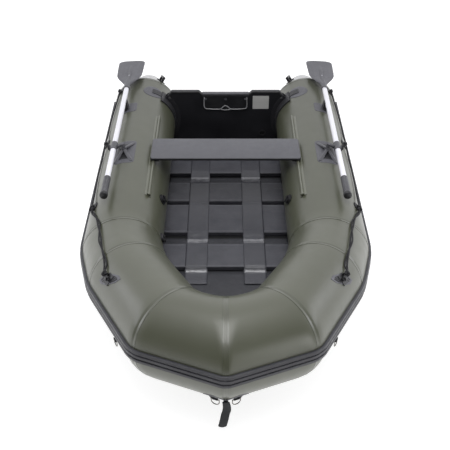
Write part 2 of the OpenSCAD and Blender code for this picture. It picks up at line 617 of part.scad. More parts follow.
// Smooth curve through the points
function catmull(a, b, c, d, t) = 0.5 * ((2 * b) + (c - a) * t + (2 * a - 5 * b + 4 * c - d) * t * t
    + (3 * b - a - 3 * c + d) * t * t * t);
line_n = len(line_ctrl);
line_steps = 3;
function line_at(i, t) = catmull(line_ctrl[max(i - 1, 0)], line_ctrl[i], line_ctrl[i + 1],
    line_ctrl[min(i + 2, line_n - 1)], t);
line_pts = concat([for (i = [0:line_n - 2], k = [0:line_steps - 1]) line_at(i, k / line_steps)],
    [line_ctrl[line_n - 1]]);
module swept(pts, r, sides) {
    n = len(pts);
    dirs = [for (i = [0:n - 1]) unit(pts[min(i + 1, n - 1)] - pts[max(i - 1, 0)])];
    rings = [for (i = [0:n - 1]) let (u = unit(cross(dirs[i], [0, 0, 1])), v = cross(u, dirs[i]))
        for (k = [0:sides - 1]) pts[i] + r * (cos(360 * k / sides) * u + sin(360 * k / sides) * v)];
    faces = concat([[for (k = [0:sides - 1]) k]],
        [for (i = [0:n - 2], k = [0:sides - 1]) let (a = i * sides + k, b = i * sides + (k + 1) % sides)
            each [[a, b + sides, b], [a, a + sides, b + sides]]],
        [[for (k = [sides - 1:-1:0]) (n - 1) * sides + k]]);
    polyhedron(rings, faces);
}
module lifeline() color("#141518") swept(line_pts, line_d / 2, 8);

// ---- Stern handles ----
handle_y = stern_y + 62;
handle_angle = 124;
handle_w = 30;
handle_h = 34;
cone_slope = atan((R - cone_end_d / 2) / cone_len);
cone_r = R - (handle_y - stern_y) * tan(cone_slope);
module on_cone() translate([W, handle_y, R]) rotate([0, 90 - handle_angle, 0])
    translate([0, 0, cone_r]) rotate([-cone_slope, 0, 0]) children();
module stern_handles() color("#1b1c20") both() difference() {
    on_cone() {
        for (j = [-1, 1]) translate([0, j * (handle_len / 2 - 10), -2]) rotate([0, 0, 90])
            linear_extrude(7) rounded_plate(22, handle_w + 8, 6);
        for (j = [-1, 1]) translate([-handle_w / 4, j * (handle_len / 2 - 9) - 5, 0])
            cube([handle_w / 2, 10, handle_h]);
        translate([-handle_w / 4, -handle_len / 2 + 4, handle_h - 10])
            cube([handle_w / 2, handle_len - 8, 10]);
    }
    translate([W, stern_y, R]) rotate([-90, 0, 0])
        cylinder(r1 = R + 0.5, r2 = cone_end_d / 2 + 0.5, h = cone_len);
}

// ---- Air valves ----
valve_spots = [[shoulder_y + 308, 156], [shoulder_y + 50, 168]];     // aft valve, and the bow chamber's
valve_lip = 4;
valve_seat = R + 1;      // just clear of the curved skin
module valve_body() difference() {
    union() {
        cylinder(d = valve_d, h = valve_lip);
        translate([0, 0, valve_lip]) cylinder(d = valve_d - 14, h = 5);
        translate([0, 0, -fabric_t]) cylinder(d = valve_d - 24, h = fabric_t + 1);
    }
    translate([0, 0, valve_lip]) cylinder(d = valve_d - 22, h = 6);
}
module at_valve(i) on_side_tube(valve_spots[i][0]) at_angle(valve_spots[i][1], valve_seat) children();
module valve_bodies() color("#1b1c20") {
    at_valve(0) valve_body();
    mirrored() { at_valve(0) valve_body(); at_valve(1) valve_body(); }
}
module valve_cap() color("#18191c") {
    translate([0, 0, valve_lip + tiny]) cylinder(d = valve_d - 22.6, h = 6);
    translate([0, 0, valve_lip + 5 + tiny]) cylinder(d = valve_d - 12, h = 4);
    for (a = [0, 90]) rotate([0, 0, a]) translate([-(valve_d - 14) / 2, -2.5, valve_lip + 8])
        cube([valve_d - 14, 5, 5]);
}

// ---- D-rings and the bow's pull ----
web_over = 2;            // thickness of the webbing round a ring's bar
bar_r = ring_wire / 2;
bore_r = bar_r + tiny;
hang_r = R + patch_t + web_over + bore_r + 1.5;    // from a tube's centre line to a ring's bar
// Frame at a ring's bar: the bar along Y, -Z straight down in the tube's cross-section
module at_hang(a) translate([hang_r * cos(a), 0, hang_r * sin(a)]) children();
// Lean that makes a ring on bow tube i hang plumb
function plumb(i) = atan(abs(outward(bow_dirs[i]).y) * tan(bow_tilt));
web_w = 22;
ring_leg = 11;           // straight sides of a D-ring
module web(a, w) difference() {
    union() {
        at_hang(a) rotate([90, 0, 0]) cylinder(r = bore_r + web_over, h = w, center = true, $fn = fine);
        ring_sector(R + patch_t, R + patch_t + 2.5, a - 1, a + 12, w);
        at_angle(a, R + patch_t) translate([-2, -w / 2, 0]) cube([4, w, 3]);
    }
    at_hang(a) rotate([90, 0, 0]) cylinder(r = bore_r, h = w + 2, center = true, $fn = fine);
}
module d_ring(w) color("#b9bbbe") {
    rotate([90, 0, 0]) cylinder(r = bar_r, h = w + 2 * ring_wire + 1, center = true, $fn = fine);
    for (j = [-1, 1]) translate([0, j * (w + ring_wire) / 2, -ring_leg])
        cylinder(r = bar_r, h = ring_leg, $fn = fine);
    translate([0, 0, -ring_leg]) rotate([0, 90, 0]) rotate([0, 0, -90]) rotate_extrude(angle = 180)
        translate([(w + ring_wire) / 2, 0]) circle(r = bar_r, $fn = fine);
}
module on_nose(x) on_bow_tube(2, nose_t(x)) children();
pull_web_w = 18;
module at_pull() in_bow() translate([0, -tip_fwd - (hang_r / abs(outward(bow_dirs[2]).y)) * cos(nose_angle),
    hang_r * sin(nose_angle)]) children();
module ring_webs() color("#1b1c20") {
    both() on_bow_tube(1, ring_spot[0]) web(ring_spot[1], web_w);
    both() on_nose(ring_x) web(nose_angle, web_w);
    difference() {
        at_pull() {
            rotate([0, 90, 0]) cylinder(r = bore_r + web_over, h = pull_web_w, center = true, $fn = fine);
            translate([-pull_web_w / 2, 0, -1.5]) cube([pull_web_w, 18, 3 + web_over]);
        }
        at_pull() rotate([0, 90, 0]) cylinder(r = bore_r, h = pull_web_w + 2, center = true, $fn = fine);
        both() difference() {
            on_bow_tube(2, 0) rotate([90, 0, 0]) cylinder(r = R + patch_t, h = 2 * cut, center = true);
            beyond([0, hull_path[4].y, 0], [-1, 0, 0]);
        }
    }
}
module ring_on_cheek()
    on_bow_tube(1, ring_spot[0]) at_hang(ring_spot[1]) rotate([0, plumb(1), 0]) d_ring(ring_w);
module ring_on_nose() on_nose(ring_x) at_hang(nose_angle) rotate([0, plumb(2), 0]) d_ring(ring_w);
pull_t = 9;
module bow_pull() color("#18191c") at_pull() rotate([bow_tilt, 0, 0]) {
    rotate([0, 90, 0]) cylinder(r = bar_r, h = pull_w - 2, center = true, $fn = fine);
    for (j = [-1, 1]) translate([j * (pull_w / 2 - 2) - 2, -pull_t / 2, -16])
        cube([4, pull_t, 16 + pull_t / 2]);
    translate([0, pull_t / 2, 0]) rotate([90, 0, 0]) linear_extrude(pull_t)
        polygon([[-pull_w / 2, -14], [-pull_w / 2 - 1, -pull_len / 3], [-pull_w / 2 - 3, 6 - pull_len],
            [-pull_w / 2 + 3, -pull_len], [pull_w / 2 - 3, -pull_len], [pull_w / 2 + 3, 6 - pull_len],
            [pull_w / 2 + 1, -pull_len / 3], [pull_w / 2, -14]]);
}

tube(0);  // side_tube_port
mirrored() tube(0);  // side_tube_starboard
tube(1);  // shoulder_tube_port
mirrored() tube(1);  // shoulder_tube_starboard
tube(2);  // cheek_tube_port
mirrored() tube(2);  // cheek_tube_starboard
tube(3);  // bow_tube_port
mirrored() tube(3);  // bow_tube_starboard
stern_cone();  // stern_cone_port
mirrored() stern_cone();  // stern_cone_starboard
chamber_walls();
strake_sides();
strake_bow();
bottom_skin();
bow_floor();
floor_sleeves();
floor_slats();
floor_straps();
transom_board();
transom_holders();
transom_bolts();
motor_pad(pad_y_inner, pad_y_inner);  // motor_pad_inner
motor_pad(pad_y_outer, pad_y_outer + pad_t);  // motor_pad_outer
blank_plate();
drain_body();
drain_plug();
seat_rail();  // seat_rail_port
mirrored() seat_rail();  // seat_rail_starboard
seat_board();
seat_clips();
fitting_patches();
oarlock_base();  // oarlock_base_port
mirrored() oarlock_base();  // oarlock_base_starboard
oarlock_swivel();  // oarlock_swivel_port
mirrored() oarlock_swivel();  // oarlock_swivel_starboard
axle_nut();  // axle_nut_port
mirrored() axle_nut();  // axle_nut_starboard
oar_collar();  // oar_collar_port
mirrored() oar_collar();  // oar_collar_starboard
oar_shaft();  // oar_shaft_port
mirrored() oar_shaft();  // oar_shaft_starboard
oar_grip();  // oar_grip_port
mirrored() oar_grip();  // oar_grip_starboard
oar_blade();  // oar_blade_port
mirrored() oar_blade();  // oar_blade_starboard
oar_rests();
line_holders();
lifeline();  // lifeline_port
mirrored() lifeline();  // lifeline_starboard
stern_handles();
valve_bodies();
at_valve(0) valve_cap();  // valve_cap_port
mirrored() at_valve(0) valve_cap();  // valve_cap_starboard
mirrored() at_valve(1) valve_cap();  // valve_cap_bow
ring_webs();
ring_on_nose();  // bow_ring_port
mirrored() ring_on_nose();  // bow_ring_starboard
ring_on_cheek();  // side_ring_port
mirrored() ring_on_cheek();  // side_ring_starboard
bow_pull();
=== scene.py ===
# %% [markdown]
# # An inflatable tender, dressed for a studio picture
# The boat is built elsewhere as exact solids, one per panel, board and fitting. This lesson
# starts from those solids and gives each one what a boat builder would see: smooth inflated
# skin with welded seams, a rubber strake, woven straps, laid rope, moulded oars.
# Everything is in metres. +X is port, -Y the bow, +Z up.

# %% Load the solids
import math

import bpy
import numpy as np
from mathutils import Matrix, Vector, noise


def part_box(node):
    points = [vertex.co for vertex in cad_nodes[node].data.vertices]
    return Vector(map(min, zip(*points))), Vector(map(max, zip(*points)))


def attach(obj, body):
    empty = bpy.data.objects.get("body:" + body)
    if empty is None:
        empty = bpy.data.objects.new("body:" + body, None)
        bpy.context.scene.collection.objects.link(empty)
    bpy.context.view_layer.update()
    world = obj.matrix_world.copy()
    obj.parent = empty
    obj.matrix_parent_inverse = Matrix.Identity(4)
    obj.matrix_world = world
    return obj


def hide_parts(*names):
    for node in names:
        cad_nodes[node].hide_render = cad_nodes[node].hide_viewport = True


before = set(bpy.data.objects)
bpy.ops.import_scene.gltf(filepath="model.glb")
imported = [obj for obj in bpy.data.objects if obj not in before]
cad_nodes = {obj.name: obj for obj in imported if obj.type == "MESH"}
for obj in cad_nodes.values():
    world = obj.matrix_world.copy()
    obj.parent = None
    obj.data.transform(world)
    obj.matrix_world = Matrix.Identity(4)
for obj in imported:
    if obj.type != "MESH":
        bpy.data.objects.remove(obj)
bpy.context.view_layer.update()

# %% [markdown]
# ## The camera
# The boat lies with its bow towards us and is seen from well above it, as a buyer standing
# on a step would see it. A long lens keeps the bow from looking swollen. The camera comes
# first so that every later choice can be judged through it.

# %% Camera
scene = bpy.context.scene
camera_data = bpy.data.cameras.new("studio_camera")
camera_data.sensor_width = 36
camera_data.lens = 62.4
camera_data.clip_end = 60
camera = bpy.data.objects.new("studio_camera", camera_data)
camera.location = (-0.003, -3.1023, 2.4143)
camera.rotation_euler = (math.radians(52.913), 0, 0)
scene.collection.objects.link(camera)
scene.camera = camera

# %% [markdown]
# ## The studio
# Catalogue pictures of boats use a white cove and big soft boxes. A coated fabric shows its
# roundness only through broad reflections, so the surroundings matter more than the lamps:
# white overhead and to the sides, dim behind the camera. The cove glows a little of its own,
# which lifts the hull's underside and leaves only a faint shadow.

# %% Floor, world and lights
floor_mesh = bpy.data.meshes.new("studio_floor")
reach = 40
floor_mesh.from_pydata([(-reach, -reach, -0.001), (reach, -reach, -0.001), (reach, reach, -0.001),
                        (-reach, reach, -0.001)], [], [(0, 1, 2, 3)])
studio_floor = bpy.data.objects.new("studio_floor", floor_mesh)
scene.collection.objects.link(studio_floor)
cove = bpy.data.materials.new("studio_white")
cove.use_nodes = True
cove_shader = cove.node_tree.nodes["Principled BSDF"]
cove_shader.inputs["Base Color"].default_value = (0.5, 0.5, 0.5, 1)
cove_shader.inputs["Roughness"].default_value = 0.9
cove_shader.inputs["Emission Color"].default_value = (1, 1, 1, 1)
cove_shader.inputs["Emission Strength"].default_value = 0.80
floor_mesh.materials.append(cove)

world = bpy.data.worlds.new("studio_world")
scene.world = world
world.use_nodes = True
sky = world.node_tree
direction = sky.nodes.new("ShaderNodeTexCoord")
split = sky.nodes.new("ShaderNodeSeparateXYZ")
sky.links.new(direction.outputs["Generated"], split.inputs["Vector"])


def sky_ramp(value, low, high, dark, bright):
    ramp = sky.nodes.new("ShaderNodeMapRange")
    ramp.interpolation_type = "SMOOTHSTEP"
    for socket, number in (("From Min", low), ("From Max", high), ("To Min", dark), ("To Max", bright)):
        ramp.inputs[socket].default_value = number
    sky.links.new(value, ramp.inputs["Value"])
    return ramp.outputs["Result"]


front_to_back = sky_ramp(split.outputs["Y"], -0.7, 0.9, 0.10, 1.15)
low_to_high = sky_ramp(split.outputs["Z"], 0.45, 0.95, 0.0, 0.75)
total = sky.nodes.new("ShaderNodeMath")
total.operation = "MAXIMUM"
sky.links.new(front_to_back, total.inputs[0])
sky.links.new(low_to_high, total.inputs[1])
backdrop = sky.nodes["Background"]
backdrop.inputs["Color"].default_value = (0.97, 0.97, 1, 1)
sky.links.new(total.outputs["Value"], backdrop.inputs["Strength"])


def soft_box(name, place, aim, width, height, watts, colour=(1, 1, 1)):
    lamp = bpy.data.lights.new(name, "AREA")
    lamp.shape = "RECTANGLE"
    lamp.size = width
    lamp.size_y = height
    lamp.energy = watts
    lamp.color = colour
    lamp_object = bpy.data.objects.new(name, lamp)
    lamp_object.location = place
    heading = Vector(aim) - Vector(place)
    lamp_object.rotation_euler = heading.to_track_quat("-Z", "Y").to_euler()
    scene.collection.objects.link(lamp_object)


lavender = (0.93, 0.93, 1.0)
soft_box("overhead_box", (0, -0.9, 3.4), (0, -0.5, 0), 1.6, 2.6, 62)
soft_box("bow_box", (3.4, -3.2, 1.0), (0.1, -1.1, 0.35), 0.7, 1.5, 22)
soft_box("port_box", (3.4, 0.3, 1.5), (0.4, 0, 0.2), 2.6, 1.2, 22, lavender)
soft_box("starboard_box", (-3.4, 0.3, 1.5), (-0.4, 0, 0.2), 2.6, 1.2, 22, lavender)
scene.view_settings.view_transform = "Standard"
print("studio ready")

# %% [markdown]
# ## A recipe for finishes
# Each finish needs the same few things: a colour that wanders a little, a gloss that wanders
# with it, and a fine relief. Rather than wiring every material by hand, one function takes
# the sizes that matter to a maker: how coarse the grain is, whether there is a weave and at
# what pitch, and how shiny the surface is. What is equal all over stays on the shader's own
# sockets.

# %% Finish recipe
def finish_material(name, colour, roughness, mottle=0.06, mottle_size=0.12, grain=0.0004, grain_depth=0.25,
                    weave=0.0, weave_depth=0.0, ribs=0.0, rib_axis="Y", rib_depth=0.0, metal=0.0, coat=0.0,
                    coat_rough=0.2, sheen=0.0, specular=0.5, streak=None, worn=0.0, anisotropic=0.0):
    material = bpy.data.materials.new(name)
    material.use_nodes = True
    tree = material.node_tree
    nodes, links = tree.nodes, tree.links
    shader = nodes["Principled BSDF"]
    shader.inputs["Metallic"].default_value = metal
    shader.inputs["Coat Weight"].default_value = coat
    shader.inputs["Coat Roughness"].default_value = coat_rough
    shader.inputs["Sheen Weight"].default_value = sheen
    shader.inputs["Specular IOR Level"].default_value = specular
    shader.inputs["Anisotropic"].default_value = anisotropic
    place = nodes.new("ShaderNodeTexCoord")
    source = place.outputs["Object"]
    if streak:
        stretch = nodes.new("ShaderNodeMapping")
        stretch.inputs["Scale"].default_value = streak
        links.new(source, stretch.inputs["Vector"])
        source = stretch.outputs["Vector"]

    def cloud(size, detail):
        texture = nodes.new("ShaderNodeTexNoise")
        texture.inputs["Scale"].default_value = 1 / size
        texture.inputs["Detail"].default_value = detail
        links.new(source, texture.inputs["Vector"])
        return texture.outputs["Fac"]

    def remap(value, low, high):
        node = nodes.new("ShaderNodeMapRange")
        node.inputs["From Min"].default_value = 0.3
        node.inputs["From Max"].default_value = 0.7
        node.inputs["To Min"].default_value = low
        node.inputs["To Max"].default_value = high
        links.new(value, node.inputs["Value"])
        return node.outputs["Result"]

    tint = nodes.new("ShaderNodeMix")
    tint.data_type = "RGBA"
    tint.inputs["A"].default_value = (*[c * (1 - mottle) for c in colour], 1)
    tint.inputs["B"].default_value = (*[min(1, c * (1 + mottle) + worn * 0.02) for c in colour], 1)
    patches = cloud(mottle_size, 5)
    links.new(remap(patches, 0, 1), tint.inputs["Factor"])
    links.new(tint.outputs["Result"], shader.inputs["Base Color"])
    scuffs = cloud(mottle_size / 6, 8)
    roughest = min(1, roughness * 1.12 + worn * 0.05)
    links.new(remap(scuffs, roughness * 0.92, roughest), shader.inputs["Roughness"])

    relief = None

    def add_relief(height, depth, distance):
        nonlocal relief
        bump = nodes.new("ShaderNodeBump")
        bump.inputs["Strength"].default_value = depth
        bump.inputs["Distance"].default_value = distance
        links.new(height, bump.inputs["Height"])
        if relief:
            links.new(relief, bump.inputs["Normal"])
        relief = bump.outputs["Normal"]

    def waves(axis, pitch):
        wave = nodes.new("ShaderNodeTexWave")
        wave.bands_direction = axis
        wave.wave_profile = "SIN"
        wave.inputs["Scale"].default_value = 0.3142 / pitch
        wave.inputs["Distortion"].default_value = 0.4
        wave.inputs["Detail"].default_value = 1
        links.new(source, wave.inputs["Vector"])
        return wave.outputs["Fac"]

    add_relief(cloud(grain, 4), grain_depth, grain * 0.5)
    if weave:
        crossing = nodes.new("ShaderNodeMath")
        crossing.operation = "MULTIPLY"
        links.new(waves("X", weave), crossing.inputs[0])
        links.new(waves("Y", weave), crossing.inputs[1])
        add_relief(crossing.outputs["Value"], weave_depth, weave * 0.3)
    if ribs:
        add_relief(waves(rib_axis, ribs), rib_depth, ribs * 0.3)
    links.new(relief, shader.inputs["Normal"])
    return material


hull_cloth = finish_material("hull_cloth", (0.064, 0.068, 0.043), 0.40, mottle=0.05, mottle_size=0.35,
                             grain=0.0009, grain_depth=0.12, weave=0.0012, weave_depth=0.05, coat=0.35,
                             coat_rough=0.30, specular=0.6)
seam_cloth = finish_material("seam_cloth", (0.058, 0.062, 0.039), 0.33, mottle=0.05, mottle_size=0.2,
                             grain=0.0009, grain_depth=0.12, coat=0.45, coat_rough=0.22, specular=0.6)
cone_cloth = finish_material("cone_cloth", (0.186, 0.186, 0.189), 0.34, mottle=0.04, mottle_size=0.2,
                             grain=0.0009, grain_depth=0.15, coat=0.4, coat_rough=0.22)
patch_cloth = finish_material("patch_cloth", (0.076, 0.076, 0.088), 0.42, mottle=0.08, mottle_size=0.06,
                              grain=0.0009, grain_depth=0.2, weave=0.0014, weave_depth=0.25, worn=0.6)
strake_rubber = finish_material("strake_rubber", (0.021, 0.021, 0.027), 0.42, mottle=0.10, mottle_size=0.10,
                                grain=0.0012, grain_depth=0.3, worn=0.8)
# a near-black cloth used as painted shade: on the floor under the slats and inside the rail pockets' mouths
painted_shade_cloth = finish_material("painted_shade_cloth", (0.004, 0.004, 0.005), 0.6, mottle=0.2, mottle_size=0.09,
                              grain=0.0011, grain_depth=0.25)
floor_cloth = finish_material("floor_cloth", (0.025, 0.026, 0.032), 0.46, mottle=0.14, mottle_size=0.09,
                              grain=0.0011, grain_depth=0.25, weave=0.0018, weave_depth=0.35, worn=0.4)
sleeve_cloth = finish_material("sleeve_cloth", (0.052, 0.053, 0.064), 0.44, mottle=0.12, mottle_size=0.07,
                               grain=0.0011, grain_depth=0.25, weave=0.0018, weave_depth=0.4, worn=0.5)
strap_cloth = finish_material("strap_cloth", (0.047, 0.048, 0.058), 0.38, mottle=0.12, mottle_size=0.05,
                              grain=0.001, grain_depth=0.2, weave=0.0018, weave_depth=0.35, coat=0.15,
                              coat_rough=0.3)
# a glossier copy of the strap cloth; its lighter colour is a painted highlight where the strap slopes into a
# gap
strap_painted_highlight = finish_material("strap_painted_highlight", (0.135, 0.136, 0.148), 0.24, mottle=0.35, mottle_size=0.03,
                              grain=0.003, grain_depth=0.5, coat=0.7, coat_rough=0.15)
black_plastic = finish_material("black_plastic", (0.011, 0.011, 0.013), 0.42, mottle=0.15, mottle_size=0.04,
                                grain=0.0007, grain_depth=0.35, worn=0.3)
gloss_black = finish_material("gloss_black", (0.012, 0.012, 0.014), 0.16, mottle=0.1, mottle_size=0.05,
                              grain=0.0009, grain_depth=0.08, coat=0.5, coat_rough=0.1)
grey_plastic = finish_material("grey_plastic", (0.075, 0.075, 0.084), 0.40, mottle=0.1, mottle_size=0.03,
                               grain=0.0006, grain_depth=0.3, worn=0.5)
blade_plastic = finish_material("blade_plastic", (0.086, 0.086, 0.098), 0.42, mottle=0.07, mottle_size=0.08,
                                grain=0.0008, grain_depth=0.25, worn=0.5)
holder_rubber = finish_material("holder_rubber", (0.020, 0.020, 0.023), 0.45, mottle=0.15, mottle_size=0.05,
                                grain=0.0008, grain_depth=0.3, ribs=0.011, rib_axis="Y", rib_depth=0.7)
transom_paint = finish_material("transom_paint", (0.0085, 0.0085, 0.0115), 0.40, mottle=0.2, mottle_size=0.12,
                                grain=0.003, grain_depth=0.25, coat=0.1, worn=0.3)
seat_paint = finish_material("seat_paint", (0.088, 0.089, 0.100), 0.50, mottle=0.035, mottle_size=0.15,
                             grain=0.0013, grain_depth=0.6, worn=0.4)
oar_metal = finish_material("oar_metal", (0.82, 0.82, 0.86), 0.36, mottle=0.04, mottle_size=0.05,
                            grain=0.0006, grain_depth=0.2, metal=0.25, streak=(1, 0.04, 1), anisotropic=0.3)
ring_steel = finish_material("ring_steel", (0.20, 0.195, 0.18), 0.22, mottle=0.1, mottle_size=0.02,
                             grain=0.0008, grain_depth=0.1, metal=1.0)
steel = finish_material("polished_steel", (0.75, 0.76, 0.78), 0.16, mottle=0.05, mottle_size=0.02,
                        grain=0.0008, grain_depth=0.08, metal=1.0)
plate_metal = finish_material("brushed_plate", (0.62, 0.62, 0.60), 0.42, mottle=0.06, mottle_size=0.02,
                              grain=0.0007, grain_depth=0.25, metal=0.15, streak=(0.08, 1, 1),
                              anisotropic=0.2)
rope_yarn = finish_material("rope_yarn", (0.013, 0.013, 0.015), 0.62, mottle=0.3, mottle_size=0.01,
                            grain=0.0005, grain_depth=0.8, sheen=0.03, specular=0.25)
webbing = finish_material("black_webbing", (0.010, 0.012, 0.014), 0.58, mottle=0.2, mottle_size=0.02,
                          grain=0.0005, grain_depth=0.4, weave=0.0022, weave_depth=0.8, sheen=0.03,
                          specular=0.3)
# the rails are hull fabric; their lighter colour is a painted highlight along the raised strip, and the gloss
# is their own
rail_highlight_cloth = finish_material("rail_highlight_cloth", (0.105, 0.110, 0.078), 0.34, mottle=0.05, mottle_size=0.1,
                             grain=0.0009, grain_depth=0.12, coat=0.5, coat_rough=0.22)
# light grey for the motor pad's raised rim, which is black plastic: a painted highlight on its upward faces
pad_rim_highlight_plastic = finish_material("pad_rim_highlight_plastic", (0.30, 0.30, 0.31), 0.3, mottle=0.1, mottle_size=0.03,
                                 grain=0.0006, grain_depth=0.2, coat=0.4)
grip_rubber = finish_material("grip_rubber", (0.060, 0.060, 0.067), 0.40, mottle=0.1, mottle_size=0.03,
                              grain=0.0006, grain_depth=0.3, worn=0.4)
raw_ply = finish_material("raw_ply", (0.040, 0.034, 0.028), 0.55, mottle=0.2, mottle_size=0.03, grain=0.0012,
                          grain_depth=0.4, streak=(0.15, 1, 1))
thread = finish_material("sewing_thread", (0.16, 0.16, 0.18), 0.6, mottle=0.1, mottle_size=0.01, grain=0.0003)
print("finishes mixed:", len(bpy.data.materials))

# %% [markdown]
# ## A bench for making pieces
# Most pieces are strips or tubes of points joined into quads. One helper turns rows of points
# into a mesh, a second puts a finished piece on the boat: it takes the finish, rides on the
# body that carries it and hides the plain solid that it stands for.

# %% Mesh helpers
def add_piece(name, vertices, faces, material, body="hull", stands_for=(), smooth=True, sharp=None):
    mesh = bpy.data.meshes.new(name)
    mesh.from_pydata([tuple(map(float, v)) for v in vertices], [], faces)
    mesh.validate()
    mesh.update()
    mesh.materials.append(material)
    if smooth:
        mesh.polygons.foreach_set("use_smooth", [True] * len(mesh.polygons))
        if sharp:
            mesh.set_sharp_from_angle(angle=math.radians(sharp))
    piece = bpy.data.objects.new(name, mesh)
    scene.collection.objects.link(piece)
    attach(piece, body)
    if stands_for:
        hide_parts(*stands_for)
    return piece


def loft(rows, closed_rows=False, closed_ring=False, cap=False):
    """Quads between rows of equally many points."""
    rows = np.asarray(rows, float)
    count, width = rows.shape[:2]
    faces = []
    for i in range(count if closed_rows else count - 1):
        for j in range(width if closed_ring else width - 1):
            a, b = i * width + j, i * width + (j + 1) % width
            c, d = (i + 1) % count * width + (j + 1) % width, (i + 1) % count * width + j
            faces.append((a, b, c, d))
    if cap:
        faces.append(tuple(range(width))[::-1])
        faces.append(tuple((count - 1) * width + j for j in range(width)))
    return rows.reshape(-1, 3), faces


def merge(parts):
    """Several (vertices, faces) pairs as one."""
    vertices, faces = [], []
    for part_vertices, part_faces in parts:
        start = len(vertices)
        vertices.extend(part_vertices)
        faces.extend(tuple(i + start for i in face) for face in part_faces)
    return vertices, faces


def unit(v):
    v = np.asarray(v, float)
    return v / np.linalg.norm(v)


def tube_along(path, radius, sides=12, cap=True, flat=1.0):
    """A round bar along a path, with frames carried from point to point."""
    path = np.asarray(path, float)
    heading = np.gradient(path, axis=0)
    heading /= np.linalg.norm(heading, axis=1)[:, None]
    across = np.cross(heading[0], (0, 0, 1))
    if np.linalg.norm(across) < 0.1:
        across = np.cross(heading[0], (0, 1, 0))
    rows = []
    radii = np.broadcast_to(radius, len(path))
    for point, ahead, r in zip(path, heading, radii):
        across = unit(across - ahead * np.dot(across, ahead))
        above = np.cross(across, ahead)
        rows.append([point + r * (math.cos(t) * across + flat * math.sin(t) * above)
                     for t in np.linspace(0, 2 * math.pi, sides, endpoint=False)])
    return loft(rows, closed_ring=True, cap=cap)


def lathe(profile, origin, axis, across, sides=48):
    """A turned piece: profile gives (radius, distance along the axis)."""
    origin, axis, across = np.asarray(origin, float), unit(axis), unit(across)
    third = np.cross(axis, across)
    rows = [[origin + axis * along + r * (math.cos(t) * across + math.sin(t) * third)
             for t in np.linspace(0, 2 * math.pi, sides, endpoint=False)] for r, along in profile]
    return loft(rows, closed_ring=True)


def mirrored(vertices):
    return [(-v[0], v[1], v[2]) for v in vertices]


def flipped(faces):
    return [face[::-1] for face in faces]


def add_pair(name, vertices, faces, material, stands_for=(), body="hull", sharp=None):
    """A port piece and its mirror image; {} in a node or body becomes the side."""
    for label, flip in (("port", False), ("starboard", True)):
        add_piece(name + label, mirrored(vertices) if flip else vertices, flipped(faces) if flip else faces,
                  material, body=body.format(label), stands_for=[node.format(label) for node in stands_for],
                  sharp=sharp)


def refinish(node, material):
    """A new finish for a solid that keeps its own shape."""
    cad_nodes[node].data.materials.clear()
    cad_nodes[node].data.materials.append(material)


def wander(point, size, seed):
    """A steady, gentle random value between -1 and 1 for a place on the boat."""
    return noise.noise(Vector(point) / size + Vector((seed, 2.3 * seed, 7.1)))


# %% [markdown]
# ## The inflated tubes
# The hull is sewn from straight lengths of tube, cut at an angle and welded. Air rounds the
# joints: the fabric turns each corner over a few centimetres and puckers on the inside of the
# bend. A subdivided solid would lose the straight panels, so each lengthwise line of the tube
# is drawn from seam to seam and only its corners are rounded. The same lines then place the
# seams, the strake and the patches, which all have to follow the skin.

# %% Lines of the hull
tube_r = 0.18
half_beam = 0.47
shoulder_y, stern_y = -0.35, 1.03
bow_tilt = math.radians(10)
bow_plan = [(half_beam, 0), (half_beam - 0.065, -0.25), (0.215, -0.633), (0, -0.735)]
# how far from each seam the fabric starts to turn, outboard and inboard
corner_reach = [0, 0.070, 0.070, 0.045, 0.022]
inner_reach = [0, 0.070, 0.085, 0.085, 0.130]


def lift(p, up=0.0):
    """From the bow's tilted plane to the boat."""
    return np.array([p[0], shoulder_y + p[1] * math.cos(bow_tilt) + up * math.sin(bow_tilt),
                     tube_r - p[1] * math.sin(bow_tilt) + up * math.cos(bow_tilt)])


seam_centres = [np.array([half_beam, stern_y, tube_r])] + [lift(p) for p in bow_plan]
headings = [unit(seam_centres[i + 1] - seam_centres[i]) for i in range(4)]
bow_up = np.array([0, math.sin(bow_tilt), math.cos(bow_tilt)])
uprights = [np.array([0, 0, 1.0])] + [bow_up] * 3
outwards = [unit(np.cross(uprights[i], headings[i])) for i in range(4)]
outwards = [o if o[0] > 0 else -o for o in outwards]
seam_planes = [np.array([0, -1.0, 0])] + [unit(headings[i] + headings[i + 1]) for i in range(3)]
seam_planes.append(np.array([-1.0, 0, 0]))


def skin_line(angle):
    """Corner points of one lengthwise line of the port skin, and its outward directions."""
    c, s = math.cos(angle), math.sin(angle)
    radial = [c * outwards[i] + s * uprights[i] for i in range(4)]
    corners = [None] * 5
    for i in (1, 2, 3):
        start = seam_centres[i] + tube_r * radial[i]
        for j in (i, i + 1):
            n = seam_planes[j]
            corners[j] = start + headings[i] * np.dot(seam_centres[j] - start, n) / np.dot(headings[i], n)
    corners[0] = np.array([corners[1][0], stern_y, corners[1][2]])
    radial[0] = unit([corners[1][0] - half_beam, 0, corners[1][2] - tube_r])
    runs = [np.linalg.norm(corners[i + 1] - corners[i]) for i in range(4)]
    room = [1] + [0.45 * min(runs[i - 1], runs[min(i, 3)]) for i in range(1, 5)]
    reaches = [min(most, outer_r + (inner_r - outer_r) * (1 - c) / 2)
               for most, outer_r, inner_r in zip(room, corner_reach, inner_reach)]
    return corners, radial, reaches


